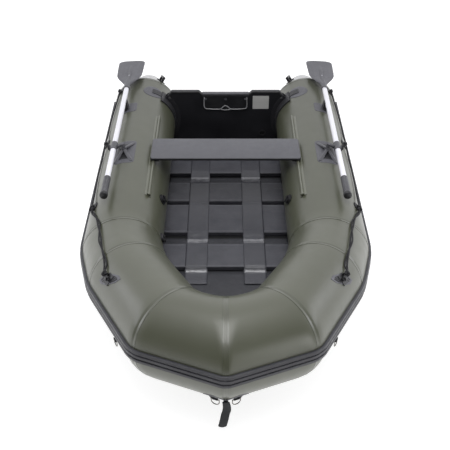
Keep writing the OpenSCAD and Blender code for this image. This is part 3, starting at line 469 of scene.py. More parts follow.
def on_line(line, seam, s, off=0.0):
    """A point on a skin line at distance s from a seam, bow-ward positive, and off the skin."""
    corners, radial, reaches = line
    reach = reaches[seam]
    before = headings[max(0, seam - 1)]
    after = headings[seam] if seam < 4 else before * np.array([1, -1, -1])
    out_before = radial[max(0, seam - 1)]
    out_after = radial[seam] if seam < 4 else radial[3] * np.array([-1, 1, 1])
    if seam == 0:
        point, t = corners[0] + headings[0] * s, 0
    else:
        t = min(1, max(0, 0.5 + s / (2 * reach)))
        a, b = corners[seam] - before * reach, corners[seam] + after * reach
        point = (1 - t) ** 2 * a + 2 * t * (1 - t) * corners[seam] + t * t * b
        if s > reach:
            point = point + after * (s - reach)
        elif s < -reach:
            point = point + before * (s + reach)
    out = unit((1 - t) * out_before + t * out_after)
    pinch = 0.0014 * math.exp(-(s / 0.006) ** 2) if 0 < seam else 0
    return point + out * (off - pinch)


def panel_stations(panel, line, straight=14):
    """Places along a panel: rounded corner, straight run, rounded corner."""
    corners = line[0]
    run = np.linalg.norm(corners[panel + 1] - corners[panel])
    near, far = line[2][panel], line[2][panel + 1]
    first = [(panel, near * k / 9) for k in range(10)] if panel else [(0, 0.0)]
    middle = [(panel, near + (run - far - near) * k / straight) for k in range(1, straight)]
    last = [(panel + 1, -far * k / 9) for k in range(9, -1, -1)]
    return first + middle + last


def skin_rows(panel, angles):
    rows = []
    for angle in angles:
        line = skin_line(angle)
        row = []
        for seam, s in panel_stations(panel, line):
            p = on_line(line, seam, s)
            inner = max(0, -math.cos(angle) - 0.25)
            puckered = seam in (1, 2, 3) and abs(s) < 0.12
            near_seam = math.exp(-((abs(s) - 0.018) / 0.035) ** 2) if puckered else 0
            pucker = 0.0011 * inner * near_seam * math.sin(angle * 34 + seam * 2)
            from_seam = p - seam_centres[panel]
            out = unit(from_seam - headings[panel] * np.dot(from_seam, headings[panel]))
            drift = 0.0005 * wander(p, 0.16, 3)
            row.append(p + out * (pucker + drift))
        rows.append(row)
    return rows


around = np.linspace(0, 2 * math.pi, 144, endpoint=False)
panel_names = ["side_tube", "shoulder_tube", "cheek_tube", "bow_tube"]
for panel, panel_name in enumerate(panel_names):
    vertices, faces = loft(skin_rows(panel, around), closed_rows=True)
    add_pair(panel_name + "_skin_", vertices, flipped(faces), hull_cloth, stands_for=[panel_name + "_{}"])
print("inflated panels:", 2 * len(panel_names))

# %% [markdown]
# ## Welded seam tapes
# Each joint is closed by a tape of the hull's own fabric, welded over the cut. On the boat it
# shows as two fine parallel lines, because its edges stand proud by the fabric's thickness. A
# painted line would vanish in a raking light, so the tape is real geometry.

# %% Seam tapes
tape_t = 0.0011


def seam_tape(seam, width):
    edge = 0.0008
    profile = [(-width / 2 - edge, -0.0004), (-width / 2, tape_t)]
    profile += [(width * k / 6, tape_t) for k in (-2, -1, -0.3, 0, 0.3, 1, 2)]
    profile += [(width / 2, tape_t), (width / 2 + edge, -0.0004)]
    if seam == 4:
        profile = [p for p in profile if p[0] <= 0]
    rows = []
    for angle in around:
        line = skin_line(angle)
        rows.append([on_line(line, seam, s, off) for s, off in profile])
    return loft(rows, closed_rows=True)


tape_widths = {1: 0.018, 2: 0.018, 3: 0.024, 4: 0.025}
vertices, faces = merge([seam_tape(seam, width) for seam, width in tape_widths.items()])
add_pair("seam_tapes_", vertices, flipped(faces), seam_cloth, sharp=40)
print("tapes:", 2 * len(tape_widths))

# %% [markdown]
# ## Stern cones
# Each side tube ends in a tapering cone with a small flat cap. It is turned like a lathe piece,
# with a soft shoulder where it meets the tube, a tape over that joint and a rounded cap.

# %% Stern cones
cone_len, cone_end_r = 0.25, 0.08
cap_round = 0.010
cone_profile = [(tube_r, 0.0), (tube_r - 0.0006, 0.004), (tube_r - 0.0035, 0.012)]
cone_profile += [(tube_r + (cone_end_r - tube_r) * k / 16, cone_len * k / 16) for k in range(1, 16)]
turn = np.linspace(0, math.pi / 2, 7)
cone_profile += [(cone_end_r - cap_round * (1 - math.cos(t)),
                  cone_len - cap_round * (1 - math.sin(t)) - 0.0005) for t in turn]
cone_profile += [(0.06, cone_len - 0.001), (0.03, cone_len - 0.0025), (0.0005, cone_len - 0.003)]
ring_profile = [(tube_r + 0.0002, -0.016), (tube_r + tape_t, -0.015), (tube_r + tape_t, -0.002),
                (tube_r + 0.0005, 0.004), (tube_r - 0.0052, 0.015), (tube_r - 0.0066, 0.016)]
for label, sign in (("port", 1), ("starboard", -1)):
    origin = (sign * half_beam, stern_y, tube_r)
    vertices, faces = lathe(cone_profile, origin, (0, 1, 0), (1, 0, 0), 144)
    add_piece("stern_cone_skin_" + label, vertices, faces, cone_cloth, stands_for=["stern_cone_" + label])
    vertices, faces = lathe(ring_profile, origin, (0, 1, 0), (1, 0, 0), 144)
    add_piece("cone_tape_" + label, vertices, faces, seam_cloth, sharp=40)
print("cones turned")

# %% [markdown]
# ## Rubbing strake
# A thick moulded rubber band guards the widest line of the hull. Its section has three ridges
# with grooves between them. The section is carried along the same rounded lines as the skin,
# so that it turns each seam without a break.

# %% Rubbing strake
strake_section = [(-23, -1), (-23, 8.5), (-21.5, 11.0), (-12.5, 11.2), (-10.8, 10), (-9.8, 7.2), (-6.6, 7.0),
                  (-5.6, 9.6), (-4.4, 10.6), (4.4, 10.6), (5.6, 9.6), (6.6, 7.0), (9.8, 7.2), (10.8, 10),
                  (12.5, 11.2), (21.5, 11.0), (23, 8.5), (23, -1)]
strake_rows = []
for up_mm, off_mm in strake_section:
    line = skin_line(up_mm / 1000 / tube_r)
    row = []
    for panel in range(4):
        stations = panel_stations(panel, line, 26)
        row += [on_line(line, seam, s, off_mm / 1000) for seam, s in stations[(1 if panel else 0):]]
    strake_rows.append(row)
strake_rows = np.array(strake_rows)
vertices, faces = loft(strake_rows)
end_cap = tuple(i * strake_rows.shape[1] for i in range(len(strake_section)))
faces = faces + [end_cap]
add_pair("strake_rubber_", vertices, faces, strake_rubber, stands_for=["strake_sides", "strake_bow"],
         sharp=35)
print("strake points", len(vertices))

# %% [markdown]
# ## Welded patches
# Every fitting sits on a patch of coated fabric, welded to the tube. A patch follows the skin
# and thins out over its last millimetres. Each one is drawn from its outline: rings of the
# outline shrink towards the middle and are wrapped round the tube.

# %% Patches
def tube_frame(tube, along):
    """Origin and directions of a port tube: 0 is the side tube (along = y), 1-3 the bow's."""
    if tube == 0:
        ahead, out, up = np.array([0, -1.0, 0]), np.array([1.0, 0, 0]), np.array([0, 0, 1.0])
        return np.array([half_beam, along, tube_r]), ahead, out, up
    return seam_centres[tube] + headings[tube] * along, headings[tube], outwards[tube], bow_up


def wrapped(tube, along, degrees, u, v, off):
    """A point u along the tube and v round it from a spot on its skin."""
    origin, ahead, out, up = tube_frame(tube, along)
    a = math.radians(degrees) - math.asin(max(-1, min(1, v / tube_r)))
    point = origin + ahead * u + (tube_r + off) * (math.cos(a) * out + math.sin(a) * up)
    if tube == 3:
        point[0] = max(point[0], 0.0002)
    return point


def welded_patch(tube, along, degrees, outline, thick=0.0017):
    outline = np.array(outline, float)
    steps = [(1.0, -0.0005), (0.995, 0.0007), (0.97, thick * 0.92)]
    steps += [(share, thick) for share in (0.93, 0.75, 0.5, 0.25, 0.02)]
    rows = [[wrapped(tube, along, degrees, u * k, v * k, off) for v, u in outline] for k, off in steps]
    vertices, faces = loft(rows, closed_ring=True)
    return vertices, flipped(faces)


def rounded_outline(half_v, half_u, r, steps=9):
    points = []
    for sv, su, start in ((1, 1, 0), (-1, 1, 90), (-1, -1, 180), (1, -1, 270)):
        for k in range(steps + 1):
            a = math.radians(start + 90 * k / steps)
            points.append((sv * (half_v - r) + r * math.cos(a), su * (half_u - r) + r * math.sin(a)))
    dense = []
    for i, p in enumerate(points):
        q = points[(i + 1) % len(points)]
        parts = max(1, int(math.dist(p, q) / 0.012))
        dense += [(p[0] + (q[0] - p[0]) * k / parts, p[1] + (q[1] - p[1]) * k / parts) for k in range(parts)]
    return dense


def disc_outline(r):
    return [(r * math.cos(t), r * math.sin(t)) for t in np.linspace(0, 2 * math.pi, 48, endpoint=False)]


def filled_outline(corners, parts=6):
    dense = []
    for i, p in enumerate(corners):
        q = corners[(i + 1) % len(corners)]
        dense += [(p[0] + (q[0] - p[0]) * k / parts, p[1] + (q[1] - p[1]) * k / parts) for k in range(parts)]
    return dense


lock_y, lock_degrees = 0.225, 79
slant = math.radians(32)
lozenge = [(0.034, 0), (0.022, 0.044), (0, 0.062), (-0.022, 0.044), (-0.034, 0), (-0.022, -0.044),
           (0, -0.062), (0.022, -0.044)]
lozenge = [(0.75 * v * math.cos(slant) - 1.2 * u * math.sin(slant),
            0.75 * v * math.sin(slant) + 1.2 * u * math.cos(slant)) for v, u in lozenge]
nose_spot = 0.03801
nose_run = float(np.linalg.norm(np.subtract(bow_plan[3], bow_plan[2])))
nose_inward, nose_ahead = 0.9035, 0.4286  # the last panel's heading in plan
nose_angle = math.radians(-54)
nose_along = nose_run + (tube_r * math.cos(nose_angle) * nose_ahead - nose_spot) / nose_inward
line_end = (2, 0.140, 41)
patch_list = [(0, lock_y, lock_degrees, rounded_outline(0.053, 0.103, 0.020)),
              (0, 0.690, 72, rounded_outline(0.042, 0.048, 0.014)),
              (0, 0.883, 110.5, disc_outline(0.058)),
              (*line_end, filled_outline(lozenge)),
              (2, 0.262, -22, disc_outline(0.036)),
              (3, nose_along, -51, disc_outline(0.046))]
vertices, faces = merge([welded_patch(*spec) for spec in patch_list])
add_pair("welded_patches_", vertices, faces, patch_cloth, stands_for=["fitting_patches"], sharp=50)
# the lifeline's bow end has a dark moulding on its patch, which shows round it as a border
mould = filled_outline([(0.74 * v, 0.80 * u) for v, u in lozenge])
vertices, faces = welded_patch(*line_end, mould, 0.0025)
add_pair("line_end_mould_", vertices, faces, holder_rubber, stands_for=["fitting_patches"], sharp=50)
print("patches:", 2 * len(patch_list))

# %% [markdown]
# ## Seat rails
# A rail is a strip of hull fabric folded over a cord: a flat flange welded to the tube, a short
# web and a round bead. One section is drawn and carried along the tube, with the slight waver
# of a hand-laid strip. Its front end is a small open pocket.

# %% Seat rails
rail_degrees, rail_from, rail_to = 126, -0.115, 0.630
bead_r, bead_off = 0.005, 0.010
rail_section = [(-0.0172, -0.0004), (-0.0168, 0.0014), (-0.0155, 0.0020), (-0.006, 0.0021), (-0.0022, 0.0030)]
bead_turn = np.linspace(math.radians(205), math.radians(515), 18)
rail_section += [(bead_r * math.sin(t), bead_off + bead_r * math.cos(t)) for t in bead_turn]
rail_section += [(0.0022, 0.0030), (0.006, 0.0021), (0.0155, 0.0020), (0.0168, 0.0014), (0.0172, -0.0004)]
rail_rows = []
for y in np.linspace(rail_from, rail_to, 150):
    sway = 0.0005 * wander((0.3, y, 0), 0.06, 31)
    rail_rows.append([wrapped(0, y, rail_degrees, 0, v + sway * (1 if off > 0.003 else 0), off)
                      for v, off in rail_section])
rail = loft(rail_rows, cap=True)


def pocket_mouth(flare):
    """The open front end of a rail: a flattened tube with a thin lip."""
    rows = []
    for u, half, high in ((0.006, 0.0075, 0.0062), (0.0045, 0.0098, 0.0078), (0.0005, 0.0105, 0.0084),
                          (-0.0005, 0.0104, 0.0083), (-0.0005, 0.0088, 0.0068), (0.004, 0.0084, 0.0064)):
        rows.append([wrapped(0, rail_from - u + flare, rail_degrees, 0, half * math.cos(t),
                             0.0085 + high * math.sin(t))
                     for t in np.linspace(0, 2 * math.pi, 24, endpoint=False)])
    return loft(rows, closed_ring=True)


mouth = pocket_mouth(0.006)
# a black disc just inside the pocket's mouth is painted shade in its opening
hole = [wrapped(0, rail_from + 0.0035, rail_degrees, 0, 0.0088 * math.cos(t), 0.0085 + 0.0068 * math.sin(t))
        for t in np.linspace(0, 2 * math.pi, 24, endpoint=False)]
# the rail strip and its mouth's rim take the lighter cloth, a painted highlight on the raised rail
add_pair("seat_rail_strip_", *rail, rail_highlight_cloth, stands_for=["seat_rail_{}"], sharp=60)
add_pair("rail_mouth_", *mouth, rail_highlight_cloth, sharp=60)
add_pair("rail_mouth_painted_shade_", hole, [tuple(range(24))], painted_shade_cloth, sharp=60)
print("rail length", round(rail_to - rail_from, 3))

# %% [markdown]
# ## Floor cloth
# One sheet of heavy coated fabric closes the bottom, flat amidships and rising with the bow.
# It is stretched between the tubes, so it hardly sags, but it keeps shallow ripples where it
# was folded. It is drawn as a grid between the tubes' inner walls, with those ripples added. Its
# upper face is near black under the slats, painted shade for the deep gaps between them, and dark
# grey in the bow.

# %% Floor cloth
floor_z = 0.0395
slat_front_edge = -0.315
floor_inset = 0.1125


def inset_plan(i, c):
    def side(d):
        return np.array([-d[1], d[0]])
    dirs = [unit(np.subtract(bow_plan[k + 1], bow_plan[k])) for k in range(3)]
    if i == 0:
        return np.array([half_beam - c, 0.0])
    if i == 3:
        return np.array([0.0, bow_plan[3][1] + c / abs(side(dirs[2])[1])])
    a, b = side(dirs[i - 1]), side(dirs[i])
    return np.array(bow_plan[i]) - (a + b) / (1 + np.dot(a, b)) * c


bow_edge = [inset_plan(i, floor_inset) for i in range(4)]


def floor_half_width(forward):
    """Half width of the bow floor at a distance ahead of the first seam."""
    xs = [p[0] for p in bow_edge]
    fs = [-p[1] for p in bow_edge]
    return float(np.interp(forward, fs, xs))


floor_rows = []
columns = np.linspace(-1, 1, 61)
stations = [("flat", y) for y in np.linspace(0.895, -0.34, 70)]
stations += [("bow", f) for f in np.linspace(0.004, -bow_edge[3][1], 46)]
for kind, place in stations:
    row = []
    for c in columns:
        if kind == "flat":
            p = np.array([c * (half_beam - floor_inset + 0.003), place, floor_z])
            ripple = 0.0012 * wander((p[0], p[1] * 0.6, 0), 0.05, 5)
        else:
            width = max(0.004, floor_half_width(place) + 0.004)
            p = lift((c * width, -place), floor_z - tube_r - 0.0003)
            ripple = 0.0022 * wander((p[0], p[1] * 1.6, 0), 0.09, 6)
            ripple += 0.0010 * wander((p[0] * 0.4, p[1], 0), 0.03, 9)
        row.append(p + np.array([0, 0, ripple * (1 - abs(c) ** 6)]))
    floor_rows.append(row)
vertices, faces = loft(floor_rows)
floor_sheet = add_piece("floor_cloth_sheet", vertices, faces, floor_cloth,
                        stands_for=["bottom_skin", "bow_floor"])
# under the slats the sheet takes the near-black cloth, painted shade for the gaps between the sleeves
floor_sheet.data.materials.append(painted_shade_cloth)
for polygon in floor_sheet.data.polygons:
    polygon.material_index = 1 if polygon.center.y > slat_front_edge else 0

# %% [markdown]
# ## Slats in their sleeves
# The floor stiffens with plywood slats, each slid into a sewn sleeve of the same fabric, so
# that the whole floor rolls up with the boat. A sleeve is a flat pad with rounded long edges
# and a few slack ripples near its ends. It is lofted from rounded sections across the boat.

# %% Slat sleeves
slat_front = [-0.317, -0.053, 0.213, 0.477]
slat_depth = [0.174, 0.236, 0.174, 0.236]
sleeve_low, sleeve_high = 0.0405, 0.0648
sleeve_half = 0.3155


def rounded_section(y0, y1, z0, z1, r, steps=5):
    points = []
    for cy, cz, start in ((y1 - r, z1 - r, 0), (y0 + r, z1 - r, 90), (y0 + r, z0 + r, 180),
                          (y1 - r, z0 + r, 270)):
        points += [(cy + r * math.cos(math.radians(start + 90 * k / steps)),
                    cz + r * math.sin(math.radians(start + 90 * k / steps))) for k in range(steps + 1)]
    return points


def dense_section(y0, y1, z0, z1, r):
    """The same outline with enough points along its long faces to carry ripples."""
    corners = rounded_section(y0, y1, z0, z1, r)
    points = []
    for k, p in enumerate(corners):
        q = corners[(k + 1) % len(corners)]
        parts = 26 if abs(q[0] - p[0]) > 0.05 else 1
        points += [(p[0] + (q[0] - p[0]) * i / parts, p[1] + (q[1] - p[1]) * i / parts) for i in range(parts)]
    return points


def sleeve_mesh(front, depth, seed):
    rows = []
    between = np.linspace(-sleeve_half + 0.002, sleeve_half - 0.002, 90)
    for x in np.concatenate([[-sleeve_half], between, [sleeve_half]]):
        end = max(0.0, (abs(x) - (sleeve_half - 0.02)) / 0.02)
        pinch = 0.0012 * end ** 2
        rounding = min(0.0036, (sleeve_high - sleeve_low) / 2 - pinch - 0.0005)
        section = dense_section(front + 0.4 * pinch, front + depth - 0.4 * pinch, sleeve_low + pinch,
                                sleeve_high - pinch, rounding)
        row = []
        for y, z in section:
            top = 1 if z > sleeve_high - 0.006 else 0
            slack = 0.45 + 1.1 * max(0, (abs(x) - 0.2) / 0.115)
            ripple = top * slack * (0.0012 * wander((x * 0.5, y * 2.2, seed), 0.045, 11) +
                                    0.0006 * wander((x, y * 3, seed), 0.015, 12))
            row.append((x, y, min(z + ripple - 0.0006 * top, sleeve_high + 0.0015)))
        rows.append(row)
    return loft(rows, closed_ring=True, cap=True)


sleeves = [sleeve_mesh(front, depth, 3 * k) for k, (front, depth) in enumerate(zip(slat_front, slat_depth))]
vertices, faces = merge(sleeves)
sleeve_piece = add_piece("slat_sleeves", vertices, faces, sleeve_cloth, stands_for=["floor_sleeves"])
sleeve_piece.modifiers.new("soften", "WEIGHTED_NORMAL")
print("sleeves sewn:", len(sleeves))

# %% [markdown]
# Between two sleeves the fabric carries on as a single flap that dips towards the floor, and
# a short rolled hem closes the sleeve. These flaps are what one sees in the wide gaps.

# %% Hems and flaps between the slats
def flap_mesh(y0, z0, y1, z1, half, seed, slack=0.003):
    rows = []
    for k in range(13):
        t = k / 12
        ease = t * t * (3 - 2 * t)
        row = []
        for x in np.linspace(-half, half, 91):
            y = y0 + (y1 - y0) * t
            z = z0 + (z1 - z0) * ease
            z += slack * math.sin(math.pi * t) * wander((x, y, seed), 0.05, 15)
            row.append((x, y, z + 0.0015 * wander((x * 1.6, y * 3, seed), 0.02, 16)))
        rows.append(row)
    return loft(rows)


flaps = [flap_mesh(-0.147, 0.0585, -0.083, 0.0475, 0.306, 1),
         flap_mesh(0.383, 0.0585, 0.452, 0.0475, 0.300, 2),
         flap_mesh(0.709, 0.058, 0.735, 0.0440, 0.300, 3)]
vertices, faces = merge(flaps)
flap_piece = add_piece("sleeve_flaps", vertices, faces, floor_cloth)
thicken = flap_piece.modifiers.new("cloth_thickness", "SOLIDIFY")
thicken.thickness = 0.0012

hems = []
for front, depth in zip(slat_front, slat_depth):
    for y in (front + 0.0105, front + depth - 0.0105):
        path = [(x, y, sleeve_high - 0.0006)
                for x in np.linspace(-sleeve_half + 0.012, sleeve_half - 0.012, 100)]
        hems.append(tube_along(path, 0.0013, 6, flat=0.5))
vertices, faces = merge(hems)
add_piece("sleeve_stitching", vertices, faces, thread)
print("flaps and stitching done")

# %% [markdown]
# ## Floor straps
# Two broad straps run the length of the floor and keep the slats in order. They lie on each
# sleeve, dip into each gap and end on the bow floor, where they are glued down. A strap is a
# ribbon drawn along its own profile, with slack where nothing carries it.

# %% Floor straps
strap_half = 0.0525
strap_top = sleeve_high + 0.0014
strap_profile = [(-0.425, 0.0535), (-0.40, 0.0495), (-0.37, 0.0445), (-0.345, 0.0440), (-0.330, 0.048),
                 (-0.318, 0.0605), (-0.306, strap_top)]
for k in range(4):
    front, back = slat_front[k], slat_front[k] + slat_depth[k]
    strap_profile += [(y, strap_top) for y in np.linspace(front + 0.02, back - 0.012, 8)]
    if k < 3:
        gap = slat_front[k + 1] - back
        dip = 0.0105 if gap > 0.05 else 0.003
        strap_profile += [(back + gap * t, strap_top - dip * math.sin(math.pi * t) ** 0.8)
                          for t in (0.12, 0.3, 0.5, 0.7, 0.88)]
# on these spans the strap takes the lighter copy of its finish, a painted highlight on the slope
highlight_spans = [(0.392, 0.446), (-0.135, -0.098), (-0.338, -0.322)]  # where it slopes into a gap


def strap_mesh(centre, seed):
    rows = []
    ys = np.array([p[0] for p in strap_profile])
    zs = np.array([p[1] for p in strap_profile])
    for y in np.linspace(ys[0], ys[-1], 300):
        z = float(np.interp(y, ys, zs))
        free = min(1, abs(z - strap_top) / 0.006)
        row = []
        for x in np.linspace(-strap_half, strap_half, 15):
            ripple = (0.0004 + 0.0022 * free) * wander((x + centre, y * 1.2, seed), 0.035, 21)
            row.append((centre + x, y, z + abs(ripple)))
        rows.append(row)
    return loft(rows)


for label, sign in (("port", 1), ("starboard", -1)):
    vertices, faces = strap_mesh(sign * 0.1375, 4 * sign)
    strap = add_piece("floor_strap_" + label, vertices, flipped(faces) if sign > 0 else faces, strap_cloth,
                      stands_for=["floor_straps"])
    strap.data.materials.append(strap_painted_highlight)
    # the sloping spans get the lighter finish: painted highlight
    for polygon in strap.data.polygons:
        if any(low < polygon.center.y < high for low, high in highlight_spans):
            polygon.material_index = 1
    thicken = strap.modifiers.new("strap_thickness", "SOLIDIFY")
    thicken.thickness = 0.0012
print("straps laid")

# %% [markdown]
# ## Transom
# The transom is a painted plywood board, gripped by moulded rubber holders welded to the tubes.
# The lowered middle carries a grey cap strip where the motor hangs. The board and its holders
# keep their solids and take new finishes; the cap strip, the edge bead and the raised
# border of the motor pad are added.

# %% Transom trim
for node, material in (("transom_board", transom_paint), ("transom_holders", holder_rubber),
                       ("transom_bolts", steel), ("motor_pad_inner", black_plastic),
                       ("motor_pad_outer", black_plastic), ("blank_plate", plate_metal),
                       ("drain_body", black_plastic), ("drain_plug", gloss_black),
                       ("floor_slats", raw_ply), ("chamber_walls", hull_cloth)):
    refinish(node, material)

board_front, board_back = 0.875, 0.900
edge_half = [(0.133, 0.3366), (0.139, 0.3395), (0.146, 0.347), (0.152, 0.3524), (0.290, 0.3524),
             (0.305, 0.3524), (0.318, 0.3365), (0.331, 0.3205)]
edge_line = [(-x, z) for x, z in edge_half[::-1]] + edge_half


def edge_strip(line, lap, lift_by):
    """A U-shaped strip over the board's top edge."""
    rows = []
    for k, (x, z) in enumerate(line):
        before, after = line[max(0, k - 1)], line[min(len(line) - 1, k + 1)]
        ahead = unit((after[0] - before[0], after[1] - before[1]))
        up = np.array([-ahead[1], ahead[0]])
        section = [(board_front - 0.0022, -lap), (board_front - 0.0026, -0.002),
                   (board_front - 0.0008, lift_by), (board_front + 0.003, lift_by + 0.0010),
                   (board_back - 0.003, lift_by + 0.0010), (board_back + 0.0008, lift_by),
                   (board_back + 0.0026, -0.002), (board_back + 0.0022, -lap)]
        rows.append([(x + up[0] * h, y, z + up[1] * h) for y, h in section])
    return loft(rows)


vertices, faces = edge_strip(edge_line, 0.009, 0.0012)
add_piece("transom_edge_bead", vertices, faces, black_plastic, sharp=50)
cap_line = [(x, 0.3384) for x in np.linspace(-0.131, 0.131, 9)]
vertices, faces = edge_strip(cap_line, 0.012, 0.0030)
add_piece("motor_cap_strip", vertices, faces, grey_plastic, sharp=50)

border_half = [(0.012, 0.2640), (0.024, 0.2515), (0.036, 0.2475), (0.066, 0.2470), (0.106, 0.2500),
               (0.118, 0.2550), (0.122, 0.268), (0.122, 0.300), (0.121, 0.322)]
border = [(-x, z) for x, z in border_half[::-1]] + [(0, 0.2705)] + border_half


def smooth_path(points, steps):
    """A curve through the points that turns without corners."""
    points = np.asarray(points, float)
    padded = np.vstack([2 * points[0] - points[1], points, 2 * points[-1] - points[-2]])
    path = []
    for i in range(1, len(padded) - 2):
        a, b, c, d = padded[i - 1:i + 3]
        for t in np.linspace(0, 1, steps, endpoint=False):
            path.append(0.5 * (2 * b + (c - a) * t + (2 * a - 5 * b + 4 * c - d) * t * t
                               + (3 * b - a - 3 * c + d) * t ** 3))
    path.append(points[-1])
    return np.array(path)


pad_front = 0.8667
vertices, faces = tube_along(smooth_path([(x, pad_front - 0.0008, z) for x, z in border], 5), 0.0027, 10)
lip = smooth_path([(x, pad_front - 0.0008, z) for x, z in
                   [(-0.030, 0.2485), (-0.020, 0.2440), (0, 0.2420), (0.020, 0.2440), (0.030, 0.2485)]], 6)
more = tube_along(lip, 0.0024, 10)
vertices, faces = merge([(vertices, faces), more])
# the border's light grey is a painted highlight on the black pad's raised rim
add_piece("motor_pad_border", vertices, faces, pad_rim_highlight_plastic)
print("transom trimmed")

# %% [markdown]
# ## Bench seat
# The seat is a plywood board in non-slip grey paint, hung on the rails' beads. The black band round
# its edge faces is painted shade. The board is lofted with softened edges so that it catches a
# line of light. The clips keep their solids.

# %% Seat
seat_lo, seat_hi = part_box("seat_board")


def rounded_rectangle(cx, cy, half_x, half_y, r, steps=8):
    points = []
    for sx, sy, start in ((1, 1, 0), (-1, 1, 90), (-1, -1, 180), (1, -1, 270)):
        for k in range(steps + 1):
            a = math.radians(start + 90 * k / steps)
            points.append((cx + sx * (half_x - r) + r * math.cos(a),
                           cy + sy * (half_y - r) + r * math.sin(a)))
    return points


def board_mesh(lo, hi, corner, edge, steps=4):
    cx, cy = (lo[0] + hi[0]) / 2, (lo[1] + hi[1]) / 2
    hx, hy = (hi[0] - lo[0]) / 2, (hi[1] - lo[1]) / 2
    rows = []
    quarter = np.linspace(0, math.pi / 2, steps)
    levels = [(edge * (1 - math.sin(t)), lo[2] + edge * (1 - math.cos(t))) for t in quarter]
    levels += [(edge * (1 - math.cos(t)), hi[2] - edge * (1 - math.sin(t))) for t in quarter]
    for inset, z in levels:
        rows.append([(x, y, z) for x, y in rounded_rectangle(cx, cy, hx - inset, hy - inset, corner - inset)])
    return loft(rows, closed_ring=True, cap=True)


vertices, faces = board_mesh(seat_lo, seat_hi, 0.014, 0.003)
add_piece("seat_plank", vertices, faces, seat_paint, body="seat", stands_for=["seat_board"], sharp=60)
# a black band over the board's edge faces: painted shade where they turn from the light
band_low, band_high = seat_lo[2] + 0.0006, seat_hi[2] - 0.0026
band_rows = []
for off, z in ((0.0002, band_low), (0.0011, band_low + 0.0012), (0.0011, band_high - 0.0012),
               (0.0002, band_high)):
    band_rows.append([(x, y, z) for x, y in rounded_rectangle(
        (seat_lo[0] + seat_hi[0]) / 2, (seat_lo[1] + seat_hi[1]) / 2, (seat_hi[0] - seat_lo[0]) / 2 + off,
        (seat_hi[1] - seat_lo[1]) / 2 + off, 0.014 + off)])
vertices, faces = loft(band_rows, closed_ring=True)
add_piece("seat_edge_shade_band", vertices, faces, black_plastic, body="seat")
for node in ("seat_clips", "oar_rests", "line_holders", "stern_handles", "valve_bodies"):
    refinish(node, black_plastic)
refinish("ring_webs", webbing)
print("seat board", [round(b - a, 3) for a, b in zip(seat_lo, seat_hi)])

# %% [markdown]
# ## Oars
# An oar is a silver anodised tube with a moulded blade and a ribbed rubber grip. The blade is
# a thin shell with a spine down its middle that fades towards the tip; its corners are round.
# It is lofted from the neck to the tip, each row a thin lens with a raised centre.

# %% Oars
lock_angle = math.radians(lock_degrees)
lock_out = np.array([math.sin(lock_angle), 0, -math.cos(lock_angle)])
lock_up = np.array([math.cos(lock_angle), 0, math.sin(lock_angle)])
lock_base = np.array([half_beam, lock_y, tube_r]) + tube_r * lock_up
oar_centre = lock_base + 0.044 * lock_out + 0.038 * lock_up
shaft_aft = 0.650
blade_start = shaft_aft - 0.028
blade_len, blade_half, blade_corner = 0.352, 0.0765, 0.024
blade_tilt = math.radians(3)
blade_out = np.array([math.cos(blade_tilt), 0, -math.sin(blade_tilt)])
blade_up = np.array([math.sin(blade_tilt), 0, math.cos(blade_tilt)])


def blade_width(t):
    """Half width of the blade at t metres from its neck."""
    spots = [(0, 0.0160), (0.045, 0.0165), (0.060, 0.022), (0.085, 0.036), (0.115, 0.054), (0.145, 0.0665),
             (0.165, 0.0715), (0.20, 0.0735), (0.26, 0.0755), (0.30, blade_half), (blade_len, blade_half)]
    width = float(np.interp(t, [s[0] for s in spots], [s[1] for s in spots]))
    if t > blade_len - blade_corner:
        width -= blade_corner - math.sqrt(max(0, blade_corner ** 2 - (t - blade_len + blade_corner) ** 2))
    return width


def blade_mesh():
    rows = []
    lengths = list(np.linspace(0, 0.32, 60))
    lengths += [blade_len - blade_corner * (1 - math.sin(a)) for a in np.linspace(0, math.pi / 2, 12)]
    half_across = np.cos(np.linspace(0, math.pi / 2, 22))
    across = np.concatenate([-half_across, half_across[::-1][1:]])
    for t in lengths:
        width = blade_width(t)
        neck = max(0, 1 - max(0, t - 0.045) / 0.11) if t > 0.045 else 1
        spine = 0.0125 * max(0, 1 - t / 0.29) ** 0.6
        half_ring = []
        for c in across:
            x = c * width
            round_part = math.sqrt(max(0, 1 - c * c)) * 0.0165
            lens = 0.0030 * (1 - abs(c) ** 6) + 0.0006 + spine * math.exp(-(x / 0.0058) ** 4)
            lens -= 0.0019 * math.exp(-((abs(x) - 0.0105) / 0.0026) ** 2) * min(1, max(0, (0.26 - t) / 0.05))
            ribbed = 0.6 if 0.14 < t < 0.32 else 0
            side_rib = 0.0018 * math.exp(-((abs(x) - 0.62 * width) / 0.004) ** 2) * ribbed
            half_ring.append((x, neck ** 2 * round_part + (1 - neck ** 2) * (lens + side_rib)))
        ring = [(x, h) for x, h in half_ring] + [(x, -h) for x, h in half_ring[::-1]]
        rows.append([oar_centre + np.array([0, blade_start + t, 0]) + x * blade_out + h * blade_up
                     for x, h in ring])
    return loft(rows, closed_ring=True, cap=True)


grip_start = oar_centre + np.array([0, 0.150 - 0.425, 0])


def grip_mesh():
    length = 0.150
    profile = [(0.0136, 0.0), (0.0158, 0.0015), (0.0162, 0.006)]
    for k in range(11):
        start = 0.012 + k * 0.0105
        profile += [(0.0164, start), (0.0150, start + 0.0012), (0.0150, start + 0.0030),
                    (0.0164, start + 0.0042), (0.0165, start + 0.009)]
    profile += [(0.0168, 0.134), (0.0182, 0.138), (0.0185, 0.143), (0.0175, 0.148),
                (0.012, length - 0.0004), (0.0004, length)]
    return lathe(profile, grip_start, (0, -1, 0), (1, 0, 0), 40)


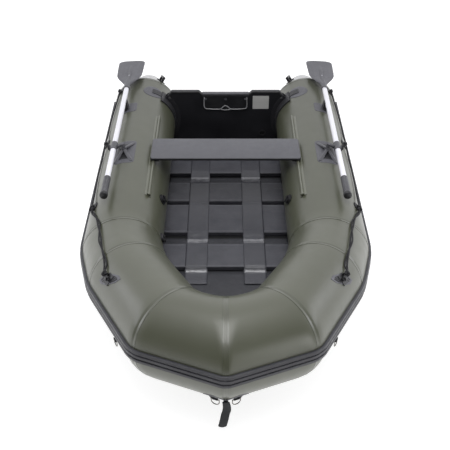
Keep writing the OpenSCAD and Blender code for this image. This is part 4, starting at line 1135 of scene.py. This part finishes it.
blade_vertices, blade_faces = blade_mesh()
screw_at = oar_centre + np.array([0, blade_start + 0.150, 0]) + 0.0085 * blade_up
screw = lathe([(0.0045, 0), (0.0045, 0.001), (0.0035, 0.0022), (0.0004, 0.0028)], screw_at, blade_up,
              (0, 1, 0), 20)
grip_end = lathe([(0.0170, 0.128), (0.0188, 0.1315), (0.0192, 0.141), (0.0186, 0.148), (0.0150, 0.1508),
                  (0.0004, 0.1512)], grip_start, (0, -1, 0), (1, 0, 0), 40)
cap = lathe([(0.0155, -0.001), (0.0172, 0.001), (0.0172, 0.020), (0.0152, 0.0225), (0.0137, 0.0225)],
            oar_centre + np.array([0, blade_start - 0.004, 0]), (0, 1, 0), (1, 0, 0), 40)
for name, (vertices, faces), material, stands, sharp in (
        ("oar_blade_shell_", (blade_vertices, blade_faces), blade_plastic, ["oar_blade_{}"], 60),
        ("ribbed_grip_", grip_mesh(), grip_rubber, ["oar_grip_{}"], 60),
        ("grip_end_", grip_end, black_plastic, [], 50), ("blade_screw_", screw, steel, [], None),
        ("blade_collar_", cap, grey_plastic, [], 50)):
    add_pair(name, vertices, faces, material, stands_for=stands, body="oar_{}", sharp=sharp)
for label in ("port", "starboard"):
    for node, material in (("oar_shaft_", oar_metal), ("oar_collar_", grey_plastic),
                           ("axle_nut_", black_plastic), ("oarlock_swivel_", grey_plastic),
                           ("oarlock_base_", grey_plastic), ("bow_ring_", ring_steel),
                           ("side_ring_", ring_steel), ("valve_cap_", black_plastic)):
        refinish(node + label, material)
refinish("valve_cap_bow", black_plastic)
print("oar reach", [round(v, 3) for v in blade_vertices[-1]])

# %% [markdown]
# The oarlock's four legs stand over hollows in its moulding. A thin black patch over them is painted
# shade for the hollows; the one on the inboard side is filled flush.

# %% Oarlock hollows
hollow = filled_outline([(-0.034, 0.070), (0.038, 0.072), (0.038, -0.072), (-0.034, -0.070), (-0.002, 0)], 8)
hollow = [(v - 0.014, u) for v, u in hollow]
# the black patch is painted shade standing in for the depth of the hollows
vertices, faces = welded_patch(0, lock_y, lock_degrees - math.degrees(0.014 / tube_r), hollow, 0.0026)
add_pair("oarlock_hollow_shade_", vertices, faces, black_plastic, sharp=50)
print("hollows darkened")

# %% [markdown]
# ## Lifelines
# A laid rope of three strands runs along each side through its holders. Its path repeats the
# route that the solid model uses: places along the tube, the angle round it and the distance
# off the skin. Three thin tubes wind about that path, which is how the rope is made.

# %% Lifelines
loop_gap = 11.5
side_route = [(1345, 41, loop_gap), (1312, 41, loop_gap), (1270, 40, 8), (1180, 35, 6), (1080, 31, 6),
              (980, 29, 6), (880, 30, 6), (800, 33, loop_gap), (755, 33, loop_gap), (650, 30, 6),
              (540, 28, 6), (430, 29, 6), (320, 33, 7), (215, 38, loop_gap), (170, 38.5, loop_gap),
              (140, 42, 10), (90, 50, 8), (30, 57, 9)]
bow_route = [(40, 58, 10), (120, 58, 8), (200, 56, 9), (290, 50, 9), (330, 43.5, 10), (350, 41, loop_gap),
             (395, 41, loop_gap)]


def side_point(back, degrees, gap):
    a = math.radians(degrees)
    r = tube_r + gap / 1000
    return np.array([half_beam + r * math.cos(a), shoulder_y + back / 1000, tube_r + r * math.sin(a)])


def bow_point(forward, degrees, gap):
    i = 1 if forward < 250 else 2
    start = np.array(bow_plan[i - 1])
    direction = unit(np.subtract(bow_plan[i], bow_plan[i - 1]))
    k = (forward / 1000 + start[1]) / -direction[1]
    a, r = math.radians(degrees), tube_r + gap / 1000
    return lift(start + k * direction) + r * (math.cos(a) * outwards[i] + math.sin(a) * bow_up)


rope_path = smooth_path([side_point(*p) for p in side_route] + [bow_point(*p) for p in bow_route], 22)


def laid_rope(path, radius, pitch):
    """Three strands wound about the path."""
    lengths = np.concatenate([[0], np.cumsum(np.linalg.norm(np.diff(path, axis=0), axis=1))])
    even = np.arange(0, lengths[-1], 0.0045)
    line = np.stack([np.interp(even, lengths, path[:, k]) for k in range(3)], axis=1)
    heading = np.gradient(line, axis=0)
    heading /= np.linalg.norm(heading, axis=1)[:, None]
    side = np.cross(heading, (0, 0, 1.0))
    side /= np.linalg.norm(side, axis=1)[:, None]
    above = np.cross(side, heading)
    strands = []
    for k in range(3):
        turn_by = 2 * math.pi * (even / pitch + k / 3)
        offset = radius * 0.46 * (np.cos(turn_by)[:, None] * side + np.sin(turn_by)[:, None] * above)
        strands.append(tube_along(line + offset, radius * 0.54, 7))
    return merge(strands)


vertices, faces = laid_rope(rope_path, 0.0045, 0.030)
# the free end, brought back from the last holder and twisted round the line
back = smooth_path([side_point(*p) for p in side_route[-4:]] + [bow_point(*p) for p in bow_route[:-1]], 22)
steps_back = np.linspace(0, 1, len(back))
sideways = np.cross(np.gradient(back, axis=0), (0, 0, 1.0))
sideways /= np.linalg.norm(sideways, axis=1)[:, None]
twist = steps_back * 2 * math.pi * 2.5
raised = 0.35 * np.abs(np.sin(twist))[:, None] * np.array([0, 0, 1.0])
tail = back + 0.0095 * (np.cos(twist)[:, None] * sideways + raised)
tail_mesh = laid_rope(tail, 0.0042, 0.028)


def overhand(centre, size, ahead):
    """A small knot: a trefoil drawn tight."""
    ahead = unit(ahead)
    side = unit(np.cross(ahead, (0, 0, 1)))
    above = np.cross(side, ahead)
    loop = []
    for t in np.linspace(0, 2 * math.pi, 60, endpoint=False):
        x, y, z = math.sin(t) + 2 * math.sin(2 * t), math.cos(t) - 2 * math.cos(2 * t), -math.sin(3 * t)
        loop.append(centre + size * (x * side + y * ahead * 1.2 + z * above))
    return tube_along(loop + loop[:1], 0.0042, 8)


knot_at = back[8] + np.array([0, 0, 0.002])
knots = [overhand(knot_at, 0.0036, back[12] - back[4])]
end_at = bow_point(352, 43, 16)
knots.append(overhand(end_at, 0.0040, bow_point(395, 41, 16) - bow_point(330, 43, 16)))
vertices, faces = merge([(vertices, faces), tail_mesh] + knots)
add_pair("lifeline_rope_", vertices, faces, rope_yarn, stands_for=["lifeline_{}"])
print("rope length", round(float(np.linalg.norm(np.diff(rope_path, axis=0), axis=1).sum()), 3))

# %% [markdown]
# ## The bow's pull
# A padded webbing handle hangs from the bow between two steel rings. Webbing keeps a slight
# S from being folded in the bag. It is lofted from flat, rounded sections along that curve.

# %% Bow pull
pull_lo, pull_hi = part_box("bow_pull")
pull_y, pull_top, pull_low = (pull_lo[1] + pull_hi[1]) / 2, pull_hi[2] - 0.003, pull_lo[2] + 0.001
rows = []
for t in np.linspace(0, 1, 48):
    z = pull_top + (pull_low - pull_top) * t
    y = pull_y + 0.0022 * math.sin(t * math.pi * 1.9)
    half = 0.0135 + 0.0028 * min(1, t * 3)
    if t > 0.94:
        half *= math.sqrt(max(0.02, 1 - ((t - 0.94) / 0.065) ** 2))
    thick = 0.0036 * (0.55 + 0.45 * min(1, t * 8)) * (1 if t < 0.97 else 0.7)
    ring = []
    sway = 0.004 * math.sin(math.pi * min(1, t / 0.5)) - 0.014 * max(0, (t - 0.35) / 0.65) ** 1.3
    for a in np.linspace(0, 2 * math.pi, 28, endpoint=False):
        c, s = math.cos(a), math.sin(a)
        ring.append((half * math.copysign(abs(c) ** 0.45, c) + sway,
                     y + thick * math.copysign(abs(s) ** 0.7, s), z))
    rows.append(ring)
vertices, faces = loft(rows, closed_ring=True, cap=True)
pull = add_piece("bow_pull_webbing", vertices, faces, webbing, body="bow_pull", stands_for=["bow_pull"])
print("pull length", round(pull_top - pull_low, 3))
